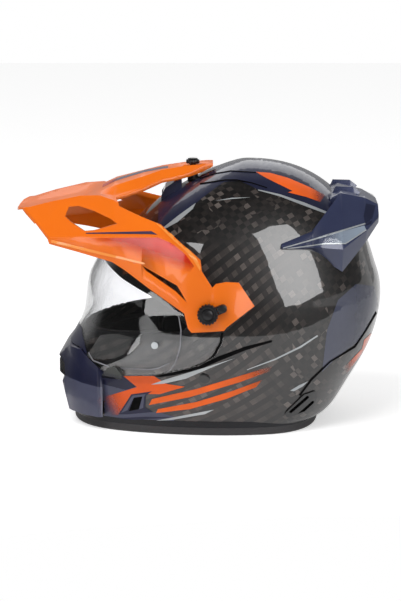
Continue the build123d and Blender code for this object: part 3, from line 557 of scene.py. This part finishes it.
def moulded_finish(name, colour, rough):
    """Bare moulded plastic with a fine spark-eroded grain."""
    finish, shader = mottled(name, dimmed(colour, 0.82), colour, 45.0, 2.0, Specular_IOR_Level=0.5)
    rubbed = ranged(finish, noise(finish, 45.0, 2.0), 0.3, 0.7, rough - 0.05, rough + 0.07)
    feed(finish, rubbed, shader, "Roughness")
    bump(finish, noise(finish, 1500.0, 3.0), 0.06, 0.2 * mm, shader)
    return finish


def guard_finish():
    """Navy above the guard's crease and slate below it; the crease drops toward the back.
    The slate is paint, with the floor's reflection on the lower part painted into it.
    """
    finish, shader = new_finish("chin_guard_lacquer", Coat_Weight=0.2, Specular_IOR_Level=0.3, **paint_coat)
    work = partial(sums, finish)
    axes = axes_of(finish)
    behind_beak = work("MAXIMUM", work("SUBTRACT", axes["X"], crease_start), 0)
    fall = work("MULTIPLY", behind_beak, crease_fall)
    above = work("ADD", work("SUBTRACT", axes["Z"], guard_crease), fall)
    upper = ranged(finish, above, -crease_blur, crease_blur, 0.0, 1.0)
    cloud = noise(finish, 22.0, 3.0)
    # The slate below the crease carries the floor's reflection on the guard's lower part, painted in.
    slate_and_reflection_part = ramp(finish, cloud, (0.3, slate_and_reflection_tones[1]), (0.7, guard_slate_and_reflection_pale))
    navy_part = ramp(finish, cloud, (0.3, navy_tones[1]), (0.7, navy_tones[0]))
    feed(finish, mixed(finish, upper, slate_and_reflection_part, navy_part), shader, "Base Color")
    return finish


def soften(node, width, segments=2):
    """Rounds a moulding's edges as its tool does."""
    piece = nodes_of_cad[node]
    piece.modifiers.new("weld", "WELD").merge_threshold = 0.002 * mm
    bevel = piece.modifiers.new("round", "BEVEL")
    bevel.width = width
    bevel.segments = segments
    bevel.limit_method = "ANGLE"
    bevel.angle_limit = radians(28)
    bevel.harden_normals = True
    for face in piece.data.polygons:
        face.use_smooth = True


black_plastic = moulded_finish("black_plastic", (30, 30, 32), 0.42)
for node in ("chin_grille", "hub_left", "hub_right", "peak_boss", "brow_vent_slider"):
    dress(node, black_plastic)
dress("chin_guard", guard_finish())
soften("chin_guard", 1.2 * mm)
dress("chin_vent_shutter", moulded_finish("grey_plastic", (66, 66, 70), 0.5))
dress("neck_vents", lacquer("gloss_black", (18, 18, 20), (10, 10, 12)))
dress("brow_vent_housing", navy)

# Rear spoiler: the winged exhaust moulding on the back of the crown, in navy lacquer.
# A pale blue reflection is painted along each wing as a blade, between two fine silver lines painted as
# highlights on its edges, and its end plate is darker.
dress("rear_spoiler", lacquer("wing_navy_lacquer", (58, 65, 96), (46, 52, 82), 0.15, 0.7))
soften("rear_spoiler", 0.9 * mm)
spoiler_skin = skin_of("rear_spoiler")
# Painted reflection and highlights: the pale blue blade stands for mirrored light on each wing, the silver
# lines for glints on its edges.
wing_reflection_start, wing_reflection_end = on(spoiler_skin, 350, 235), on(spoiler_skin, 318, 243)
painted_blade_reflection = fading("wing_reflection_lacquer", (160, 174, 192), wing_reflection_start, wing_reflection_end)
end_paint = lacquer("wing_end_lacquer", (34, 38, 66), (26, 30, 54), 0.1)
spoiler_films = (
    ("wing_blade", painted_blade_reflection, "navy_lacquer", 1,
     [(300, 246.4), (325, 235.8), (364.2, 225.6), (366, 229.4), (345.5, 243.3), (325, 243.2)]),
    ("wing_edge_upper", silver, "grey_plastic", 2,
     [(283, 247.6), (320, 236.6), (365, 223), (365.4, 224.2), (321, 238), (283, 248.6)]),
    ("wing_edge_lower", silver, "grey_plastic", 2,
     [(284, 248.8), (325, 243), (345.4, 243), (366, 229.4), (366.4, 230.4), (345.7, 244.2), (325, 244.2),
      (284, 249.6)]),
    ("wing_end", end_paint, "navy_lacquer", 1,
     [(366, 203.5), (375.5, 205.6), (371, 224), (365.6, 226), (363.6, 216)]),
)
for row in spoiler_films:
    film(*row, spoiler_skin)

# Peak: one glossy orange moulding on two ears and a central arm, coloured through and lacquered.
# A violet-grey strip lies on the middle of its back.
# The concave flank under the window has painted shade: red under the crease, fading into the orange.
# The hems are its bevelled edges, and the light they catch is painted on them in paler orange.
dress("peak", lacquer("orange_lacquer", (250, 120, 2), (244, 112, 0), 0.0, 0.22))
soften("peak", 0.8 * mm)
peak_skin = skin_of("peak")
strip_columns = 9
strip_pitch, strip_drop = 2 * mm, 4 * mm
strip_front, strip_rear = -104 * mm, -34 * mm
blush_rear = -80 * mm
strip_half_front, strip_half_blush, strip_half_rear = 11 * mm, 10.4 * mm, 9 * mm
strip_paint = lacquer("strip_lacquer", (84, 78, 106), (70, 66, 94), 0.0, 0.5)
strip_blush = fading("strip_blush", (226, 60, 40), (-100 * mm, 0, 0), (-84 * mm, 0, 0), 0.0, 0.4)
violet = lacquer("violet_lacquer", (74, 62, 92), (62, 52, 80))
# Painted highlights: the paler orange on the bevelled hems stands for the light they catch.
bevel_highlight_paint = lacquer("bevel_highlight_lacquer", (255, 158, 64), (255, 146, 50), 0.0, 0.5)
# Painted shade: the concave flank is coloured red just under the crease, fading to orange downward.
flank_shade_red = fading("wing_panel_red", (222, 34, 0), on(peak_skin, 150, 240), on(peak_skin, 144, 262), 0.0, 0.4)


def flat_enough(spots):
    """Whether a face lies along the peak's top and doesn't hang down its side."""
    return max(s.z for s in spots) - min(s.z for s in spots) < strip_drop


def peak_band(name, start, end, half_start, half_end, finish, layer):
    """A band of paint along the middle of the peak's top, laid on from above."""
    rows = max(2, int(abs(end - start) / strip_pitch))
    points = []
    for row in range(rows + 1):
        share = row / rows
        half = half_start + (half_end - half_start) * share
        for column in range(strip_columns):
            above = Vector((start + (end - start) * share, half * (2 * column / (strip_columns - 1) - 1), 1))
            spot, normal, _, _ = peak_skin.ray_cast(above, Vector((0, 0, -1)))
            points.append(None if spot is None or normal.z < 0.4 else spot + normal * (film_lift * layer))
    faces = grid_faces(points, strip_columns, flat_enough)
    lay_sheet(name, points, faces, finish, "peak_body")


peak_band("peak_strip", strip_front, strip_rear, strip_half_front, strip_half_rear, strip_paint, 1)
peak_films = (
    ("peak_sliver", violet, "navy_lacquer", 2,
     [(86, 232.9), (151.5, 231.2), (157.5, 234.9), (150, 234.2), (86, 233.9)]),
    ("wing_hem", bevel_highlight_paint, "orange_lacquer", 3,
     [(51.5, 239.5), (100, 251.5), (144.5, 262.6), (145, 264.6), (98, 254), (51.5, 242.5)]),
    ("wing_rear_hem", bevel_highlight_paint, "orange_lacquer", 3,
     [(155, 218.6), (174, 236.4), (186, 247), (196, 258), (203, 272), (200, 271), (193.5, 260),
      (184.5, 250.5), (172, 239.5), (154, 221.5)]),
)
for row in peak_films:
    film(*row, peak_skin, "peak_body")
peak_band("peak_strip_blush", strip_front, blush_rear, strip_half_front, strip_half_blush, strip_blush, 2)
# Outline of the painted shade on the flank.
wing_panel = [(53, 238.4), (158, 237.6), (172, 243.5), (186, 255), (194, 266), (190, 272), (150, 264),
              (100, 252), (53, 240.6)]
film("wing_panel", flank_shade_red, "orange_lacquer", 1, wing_panel, peak_skin, "peak_body")

# Knobs: black acetal heads with a knurled rim, turned by hand.
# Handling has polished their edges, which are rounded by the tool.
knob_black = moulded_finish("knob_black", (24, 23, 26), 0.26)
for node in ("knob_left", "knob_right", "top_knob"):
    dress(node, knob_black)
    soften(node, 0.35 * mm)

# Shield and its insert: clear polycarbonate, hard coated, held together by two bright pins.
# The shield's rear edge has a black rim printed on it, and its front hem is painted navy like the guard.
# The insert shows as a pale line where light gathers in its edge.
shield_rim = [(223.2, 333), (222.2, 343), (214.6, 357), (205.6, 363.8), (190, 369.6), (168, 374), (157, 376),
              (157, 374.4), (167, 372.2), (189, 367.6), (204.2, 361.8), (212.4, 355.4), (219.8, 342.4),
              (221, 333)]
hem_line = [(82, 327.5), (84.5, 341.6), (87, 352), (89.8, 362), (96, 369.6), (105, 376)]
hem_columns, hem_rows, hem_probes = 150, 14, 60
hem_reach = 50 * mm
shield_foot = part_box("face_shield")[0].z


def clear_finish(name, tint, bend):
    """Clear plastic, with faint streaks of polish in its hard coat."""
    finish, shader = new_finish(name, Base_Color=tint, Transmission_Weight=1.0, IOR=bend)
    feed(finish, ranged(finish, noise(finish, 60.0, 2.0), 0.3, 0.7, 0.0, 0.03), shader, "Roughness")
    return finish


dress("face_shield", clear_finish("clear_shield", (0.985, 0.987, 0.995, 1), 1.58))
dress("anti_fog_lens", clear_finish("clear_lens", (0.99, 0.99, 0.995, 1), 1.2))
dress("shield_tab", clear_finish("smoky_tab", (0.36, 0.38, 0.36, 1), 1.5))
dress("lens_pins", silver)
shield_skin = skin_of("face_shield")
edge_light, _ = mottled(
    "shield_edge_light", (112, 112, 118), (152, 152, 158), 50.0, 2.0, Roughness=0.4, Specular_IOR_Level=0.3,
)
shield_films = (
    ("shield_rim", groove_black, shield_rim),
    ("lens_edge", edge_light,
     [(89, 352), (93.5, 360), (109, 366), (109, 367), (92.6, 361), (88, 352.6)]),
    ("lens_edge_rear", edge_light,
     [(121, 367.6), (150, 369), (159, 367.4), (169.5, 362.4), (169.8, 363.2), (159, 368.6), (150, 370),
      (121, 368.4)]),
    ("lens_side", edge_light,
     [(179, 316), (181.6, 330), (181, 346), (176.5, 362), (170, 371), (169.2, 370.4), (175.4, 361.6),
      (179.8, 346), (180.4, 330), (178.2, 316)]),
)
for name, finish, outline in shield_films:
    film(name, finish, "black_plastic", 1, outline, shield_skin, "shield", step=1.4)

hem_spots = [on(shield_skin, x, y) for x, y in hem_line]
hem_marks = sorted((atan2(-spot.y, -spot.x), spot.z) for spot in hem_spots if spot is not None)
hem_turns, hem_tops = zip(*hem_marks)
hem_points = []
for column in range(hem_columns + 1):
    turn = hem_turns[-1] * (2 * column / hem_columns - 1)
    outward = Vector((-cos(turn), -sin(turn), 0))
    top = float(np.interp(abs(turn), hem_turns, hem_tops))
    hits = []
    for probe in range(hem_probes):
        z = shield_foot + (top - shield_foot) * probe / (hem_probes - 1)
        spot, normal, _, _ = shield_skin.ray_cast(Vector((0, 0, z)) + outward, -outward)
        if spot is not None and spot.dot(outward) > hem_reach:
            hits.append(spot + normal * film_lift)
    for row in range(hem_rows + 1):
        at = row / hem_rows * (len(hits) - 1)
        under = min(int(at), len(hits) - 2)
        hem_points.append(hits[under].lerp(hits[under + 1], at - under) if len(hits) > 1 else None)
hem_faces = [face[::-1] for face in grid_faces(hem_points, hem_rows + 1)]
lay_sheet("shield_hem", hem_points, hem_faces, chin_navy, "shield")

# Impact liner and chin block: black polystyrene beads, steamed together in a mould, pressed into the shell.
# They take the blow in a fall, and the pads hide all but their edges.
foam, foam_shader = new_finish("black_foam", Roughness=0.78, Specular_IOR_Level=0.3)
beads = put(foam, "TexVoronoi", spot_on(foam), None, 300.0).outputs
feed(foam, ramp(foam, beads["Color"], (0.0, (12, 12, 13)), (1.0, (24, 24, 26))), foam_shader, "Base Color")
bump(foam, sums(foam, "SUBTRACT", 1.0, beads["Distance"]), 0.35, 0.4 * mm, foam_shader)
for node in ("impact_liner", "chin_liner"):
    dress(node, foam)

# Comfort liner: brushed knit over soft foam, cut in panels and sewn. The crown pad, the two cheek pads and the
# neck roll are each filled out by cloth simulation inside the space of their solids, then quilted along seams.
head_middle = Vector((0.02, 0, 0.13))
pad_voxel = 5 * mm
pad_inset = 1 * mm
pad_frames = 20
pad_pressure = 4.0
pad_facing = 1.6
seam_width, seam_depth = 4.5 * mm, 2.2 * mm
side_seams = [((-0.005, 0, 0), (1, 0, 0.12)), ((0.032, 0, 0), (1, 0, -0.1))]
crown_seams = [((0, -0.028, 0), (0, 1, 0)), ((0, 0.028, 0), (0, 1, 0)), ((0.03, 0, 0), (1, 0, 0.1)),
               ((-0.035, 0, 0), (1, 0, -0.2))]
neck_seams = [((0, y, 0), (5 * y, 1, 0)) for y in (-0.05, 0.0, 0.05)]
pads = (
    ("crown_pad", "crown_cushion", crown_seams, 2.5 * mm, 0.5),
    ("cheek_pad_left", "cheek_cushion_left", side_seams, 4 * mm, 0.8),
    ("cheek_pad_right", "cheek_cushion_right", side_seams, 4 * mm, 0.8),
    ("neck_roll", "neck_cushion", neck_seams, 3 * mm, 0.7),
)


def knit_finish(name, colour, light):
    """Brushed knit: fine wales of loops with a short nap that catches light at its edge."""
    finish, shader = new_finish(
        name, Roughness=0.88, Specular_IOR_Level=0.15, Sheen_Weight=0.12, Sheen_Roughness=0.45,
    )
    wave = put(
        finish, "TexWave", spot_on(finish), 620.0, 1.2, 2.0, wave_type="BANDS", bands_direction="DIAGONAL",
    )
    loops = weighed(finish, wave.outputs[1], 0.6, noise(finish, 420.0, 3.0))
    base = ramp(finish, loops, (0.2, dimmed(colour, 0.7)), (0.8, colour))
    worn = sums(finish, "MULTIPLY", noise(finish, 26.0, 2.0), 0.5)
    feed(finish, mixed(finish, worn, base, tone(*light)), shader, "Base Color")
    bump(finish, loops, 0.45, 0.35 * mm, shader)
    return finish


def evaluated(piece):
    """A mesh with the piece's modifiers applied, at the present frame."""
    graph = bpy.context.evaluated_depsgraph_get()
    return bpy.data.meshes.new_from_object(piece.evaluated_get(graph), depsgraph=graph)


def settle(piece):
    """Makes what a piece's modifiers show its own mesh."""
    mesh = evaluated(piece)
    piece.modifiers.clear()
    piece.data = mesh


def remeshed(node, name):
    """A pad's solid as an even skin of small faces, drawn in a little."""
    piece = bpy.data.objects.new(name, nodes_of_cad[node].data.copy())
    bpy.context.scene.collection.objects.link(piece)
    piece.modifiers.new("weld", "WELD").merge_threshold = 0.002 * mm
    skin = piece.modifiers.new("skin", "REMESH")
    skin.mode = "VOXEL"
    skin.voxel_size = pad_voxel
    piece.modifiers.new("smooth", "SMOOTH").iterations = 4
    inset = piece.modifiers.new("inset", "DISPLACE")
    inset.strength = -pad_inset
    inset.mid_level = 0
    settle(piece)
    return piece


def inflate(piece, cap):
    """Swells a pad toward the head by cloth simulation, and lets it leave its place on that side alone."""
    start = [v.co.copy() for v in piece.data.vertices]
    normals = [v.normal.copy() for v in piece.data.vertices]
    cloth = piece.modifiers.new("fill", "CLOTH")
    cloth.settings.use_pressure = True
    cloth.settings.uniform_pressure_force = pad_pressure
    cloth.settings.effector_weights.gravity = 0
    cloth.settings.quality = 4
    for number in range(1, pad_frames + 1):
        bpy.context.scene.frame_set(number)
    moved = [v.co.copy() for v in evaluated(piece).vertices]
    piece.modifiers.clear()
    bpy.context.scene.frame_set(1)
    for vertex, old, new, normal in zip(piece.data.vertices, start, moved, normals):
        push = new - old
        toward = max(0.0, normal.dot((head_middle - old).normalized()))
        most = cap * min(1.0, pad_facing * toward)
        if push.length > most:
            push = push.normalized() * most if most > 0 else Vector((0, 0, 0))
        vertex.co = old + push
    piece.data.update()


def quilt(piece, seams):
    """Draws a pad in along its seams, which are planes through it."""
    divide = piece.modifiers.new("divide", "SUBSURF")
    divide.levels = divide.render_levels = 1
    settle(piece)
    mesh = piece.data
    normals = [v.normal.copy() for v in mesh.vertices]
    for vertex, normal in zip(mesh.vertices, normals):
        sink = 0.0
        for point, across in seams:
            gap = abs((vertex.co - Vector(point)).dot(Vector(across).normalized()))
            if gap < seam_width:
                sink = max(sink, seam_depth * (1 - gap / seam_width) ** 2)
        vertex.co -= normal * sink
    mesh.update()
    for face in mesh.polygons:
        face.use_smooth = True


knit = knit_finish("liner_knit", (15, 15, 17), (30, 30, 34))
for node, name, seams, cap, fill in pads:
    cushion = remeshed(node, name)
    inflate(cushion, cap)
    quilt(cushion, seams)
    cushion.data.materials.clear()
    cushion.data.materials.append(knit)
    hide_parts(node)
    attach(cushion, "helmet")

# Chin strap and ring strap: black polyester webbing, 25 mm wide, woven in a twill with corded edges.
# Each hangs from its rivet, turns under the chin, and folds back through or round the two rings.
web_thick = 1.8 * mm
web_rows = 25
web_bend = 1.5 * mm
bend_cuts = 6
twill = 4
rib_height, cord_height, web_inset = 0.10 * mm, 0.12 * mm, 0.15 * mm
cord_start, cord_end = 1 * mm, 3 * mm
edge_least, edge_round = 0.25, 1.2 * mm
strap_low, strap_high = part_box("chin_strap")
strap_middle = (strap_low.x + strap_high.x) / 2
strap_half = (strap_high.x - strap_low.x) / 2
strap_level, fold_level = 13.2 * mm, 20.2 * mm
strap_hang = [(106.2 * mm, 71 * mm), (101.3 * mm, 42 * mm), (97.2 * mm, 21 * mm), (88.2 * mm, strap_level)]
chin_turn, chin_end = 24 * mm, -45 * mm
ring_turn, ring_end = 33.2 * mm, 62 * mm
chin_route = [(-y, z) for y, z in strap_hang]
chin_route += [(chin_turn, strap_level), (chin_turn, fold_level), (chin_end, fold_level)]
ring_route = strap_hang + [(ring_turn, strap_level), (ring_turn, fold_level), (ring_end, fold_level)]


def rounded_route(route, radius, step):
    """A route's corners rounded, as points at even steps with the way they run."""
    points = [Vector((0, *spot)) for spot in route]
    path = [points[0]]
    for before, corner, after in zip(points, points[1:], points[2:]):
        a, b = (before - corner).normalized(), (after - corner).normalized()
        half = a.angle(b) / 2
        if half > radians(89):
            continue
        reach = radius / np.tan(half)
        centre = corner + (a + b).normalized() * radius / sin(half)
        first, last = corner + a * reach - centre, corner + b * reach - centre
        turns = [first.slerp(last, k / bend_cuts).normalized() for k in range(bend_cuts + 1)]
        path += [centre + way * radius for way in turns]
    path.append(points[-1])
    spots = []
    for start, end in zip(path, path[1:]):
        count = max(1, round((end - start).length / step))
        spots += [start.lerp(end, k / count) for k in range(count)]
    spots.append(path[-1])
    ends = [spots[0], *spots, spots[-1]]
    ways = [(after - before).normalized() for before, after in zip(ends, ends[2:])]
    return spots, ways


def web_height(row, number, share):
    """How far a strap's face stands off its middle: twill ribs, a cord near each edge, and a rounded edge."""
    edge = min(share, 1 - share) * 2 * strap_half
    rib = rib_height if (number + row) % twill < twill / 2 else -rib_height
    full = web_thick / 2 - web_inset + (cord_height if cord_start < edge < cord_end else rib)
    return full * min(1.0, edge_least + edge / edge_round)


def woven_strap(name, node, route):
    """A strap of webbing along a route, with ribs of twill on both faces and a cord in each edge."""
    spots, ways = rounded_route(route, web_bend, 1.0 * mm)
    points, faces = [], []
    ring = 2 * (web_rows + 1)
    for number, (spot, way) in enumerate(zip(spots, ways)):
        out = Vector((0, -way.z, way.y))
        for side in (1, -1):
            for row in range(web_rows + 1):
                share = row / web_rows if side > 0 else 1 - row / web_rows
                lift = web_height(row if side > 0 else web_rows - row, number, share)
                points.append((strap_middle + (share * 2 - 1) * strap_half, *(spot + out * lift * side)[1:]))
    for i in range(len(spots) - 1):
        for k in range(ring):
            a, b = i * ring + k, i * ring + (k + 1) % ring
            faces.append((a, b, b + ring, a + ring))
    faces.append(tuple(reversed(range(ring))))
    faces.append(tuple(range((len(spots) - 1) * ring, len(spots) * ring)))
    strap = add_mesh(name, points, faces, webbing)
    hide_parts(node)
    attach(strap, "helmet")


webbing, webbing_shader = new_finish("webbing", Roughness=0.72, Specular_IOR_Level=0.3, Sheen_Weight=0.2)
yarn = noise(webbing, 1600.0, 3.0)
web_base = ramp(webbing, yarn, (0.25, (18, 18, 20)), (0.75, (40, 40, 43)))
web_worn = sums(webbing, "MULTIPLY", noise(webbing, 60.0, 2.0), 0.3)
feed(webbing, mixed(webbing, web_worn, web_base, tone(66, 66, 70)), webbing_shader, "Base Color")
bump(webbing, yarn, 0.4, 0.2 * mm, webbing_shader)
woven_strap("chin_webbing", "chin_strap", chin_route)
woven_strap("ring_webbing", "ring_strap", ring_route)

# Rings and rivets: two polished steel D-rings, bent from wire and welded.
# The straps hang from black lacquered steel rivets with a domed head.
steel, steel_shader = new_finish("steel", Metallic=1.0, Base_Color=tone(196, 197, 202))
scratches = noise(steel, 700.0, 3.0)
feed(steel, ranged(steel, scratches, 0.3, 0.7, 0.16, 0.34), steel_shader, "Roughness")
bump(steel, scratches, 0.05, 0.1 * mm, steel_shader)
dress("d_rings", steel)
dress("strap_rivets", lacquer("rivet_lacquer", (20, 20, 22), (13, 13, 15)))
soften("strap_rivets", 0.5 * mm, 3)

# Studio: a white floor that runs back to the horizon, a soft sky and one large key light from the front left.
# Cards stand round the helmet for the lacquer and the shield to mirror, as they do the floor's near edge.
# Seen straight or through the shield, floor and sky are pale, and mirrored they are dim.
white, black = (1, 1, 1, 1), (0, 0, 0, 1)
floor_shown, floor_dimmed, floor_behind = 0.5, 0.28, 0.4
floor_edge = [(-0.9, -0.82), (-0.84, -0.79), (-0.38, -0.57), (-0.1, -0.46), (0.1, -0.42), (5, -0.42), (5, 5),
              (-0.9, 5)]
card_reach = 1.4
window_outline = [(250, 234), (267, 227), (287, 225), (302, 238), (318, 270), (321, 293), (302, 303),
                  (284, 307), (272, 275)]
corner_outline = [(187, 243), (202, 246), (198, 255)]
shield_outline = [(150.9, 290.6), (183, 313), (141, 337), (144.5, 311), (149.6, 293)]
back_corners = [(-1.8, 1.6, 0.8), (1.8, 1.6, 0.8), (1.8, 1.6, 2.2), (-1.8, 1.6, 2.2)]
side_corners = [(1.5, -1.7, 0), (1.5, 1.4, 0), (1.5, 1.4, 0.5), (1.5, -1.7, 0.16)]
front_corners = [(-1.6, -1.2, 0), (-1.6, -0.68, 0.155), (-1.6, 0.16, 0.38), (-1.6, 0.16, 0.8),
                 (-1.6, -0.68, 0.5), (-1.6, -1.2, 0.3)]
flag_corners = [(-0.85, -0.2, 0.001), (-0.2, -0.2, 0.001), (-0.2, 0.45, 0.001), (-0.85, 0.45, 0.001)]
sky_ambient = 0.5
sky_mirrored = (0.25, 0.6, 0.05, 0.3)
key_place, key_target = Vector((-0.9, -1.6, 2.2)), Vector((0, 0, 0.12))
key_size = (1.6, 1.2)
key_power = 42


def studio_floor():
    """A white floor that keeps the helmet's shadow and is dimmer in reflections."""
    finish, shader = new_finish("floor", Roughness=0.9, Base_Color=(0.9, 0.9, 0.9, 1), Emission_Color=white)
    work = partial(sums, finish)
    ray = put(finish, "LightPath").outputs
    glossy, through = ray["Is Glossy Ray"], ray["Is Transmission Ray"]
    seen = work("MAXIMUM", work("MAXIMUM", ray["Is Camera Ray"], glossy), through)
    straight = work("LESS_THAN", ray["Glossy Depth"], 0.5)
    base = work("SUBTRACT", work("MULTIPLY", seen, floor_shown), work("MULTIPLY", glossy, floor_dimmed))
    behind = work("MULTIPLY", work("MULTIPLY", through, straight), floor_behind)
    feed(finish, work("ADD", base, behind), shader, "Emission Strength")
    add_mesh("floor", [(x, y, 0) for x, y in floor_edge], [tuple(range(len(floor_edge)))], finish)


def card(name, corners, glow):
    """A card that only the lacquer and the clear parts mirror, standing in the studio."""
    finish, _ = new_finish(name, Base_Color=black, Emission_Color=white, Emission_Strength=glow)
    board = add_mesh(name, corners, [tuple(range(len(corners)))], finish)
    for kind in ("camera", "diffuse", "transmission", "shadow", "volume_scatter"):
        setattr(board, "visible_" + kind, False)


def mirrored_card(name, outline, glow, skin=shell_skin):
    """A card whose mirror image on the near side of a surface has an outline in pixels."""
    spots, ways = [], []
    for x, y in outline:
        spot, normal = seen_on(skin, x, y)
        ray = sight(x, y)
        spots.append(spot)
        ways.append(ray - 2 * ray.dot(normal) * normal)
    facing = sum(ways, Vector((0, 0, 0))).normalized()
    middle = sum(spots, Vector((0, 0, 0))) / len(spots) + facing * card_reach
    card(name, [s + w * ((middle - s).dot(facing) / w.dot(facing)) for s, w in zip(spots, ways)], glow)


studio_floor()
mirrored_card("window_card", window_outline, 5.5)
mirrored_card("corner_card", corner_outline, 6.0)
card("back_card", back_corners, 1.3)
card("side_card", side_corners, 0.6)
mirrored_card("shield_card", shield_outline, 6.0, shield_skin)
card("front_card", front_corners, 0.75)
card("chin_flag", flag_corners, 0.0)

world = bpy.data.worlds.new("studio")
bpy.context.scene.world = world
world.use_nodes = True
sky_out = world.node_tree.nodes["Background"]
sky_out.inputs["Color"].default_value = white
sky = partial(sums, world)
ray = put(world, "LightPath").outputs
direction = put(world, "SeparateXYZ", put(world, "TexCoord").outputs["Generated"]).outputs
mirrored_sky = ranged(world, direction["Y"], *sky_mirrored)
bounced_out = sky("MULTIPLY", ray["Is Transmission Ray"], sky("GREATER_THAN", ray["Glossy Depth"], 0.5))
straight_through = sky("SUBTRACT", ray["Is Transmission Ray"], bounced_out)
mirrored = sky("MAXIMUM", ray["Is Glossy Ray"], bounced_out)
ambient = put(world, "Mix", mirrored, None, sky_ambient, mirrored_sky).outputs[0]
plainly_seen = sky("MAXIMUM", ray["Is Camera Ray"], straight_through)
feed(world, put(world, "Mix", plainly_seen, None, ambient, 1.0).outputs[0], sky_out, "Strength")

key_data = bpy.data.lights.new("key", "AREA")
key_data.shape = "RECTANGLE"
key_data.size, key_data.size_y = key_size
key_data.energy = key_power
key = bpy.data.objects.new("key", key_data)
key.location = key_place
key.rotation_euler = (key_target - key_place).to_track_quat("-Z", "Y").to_euler()
key.visible_glossy = False
bpy.context.scene.collection.objects.link(key)
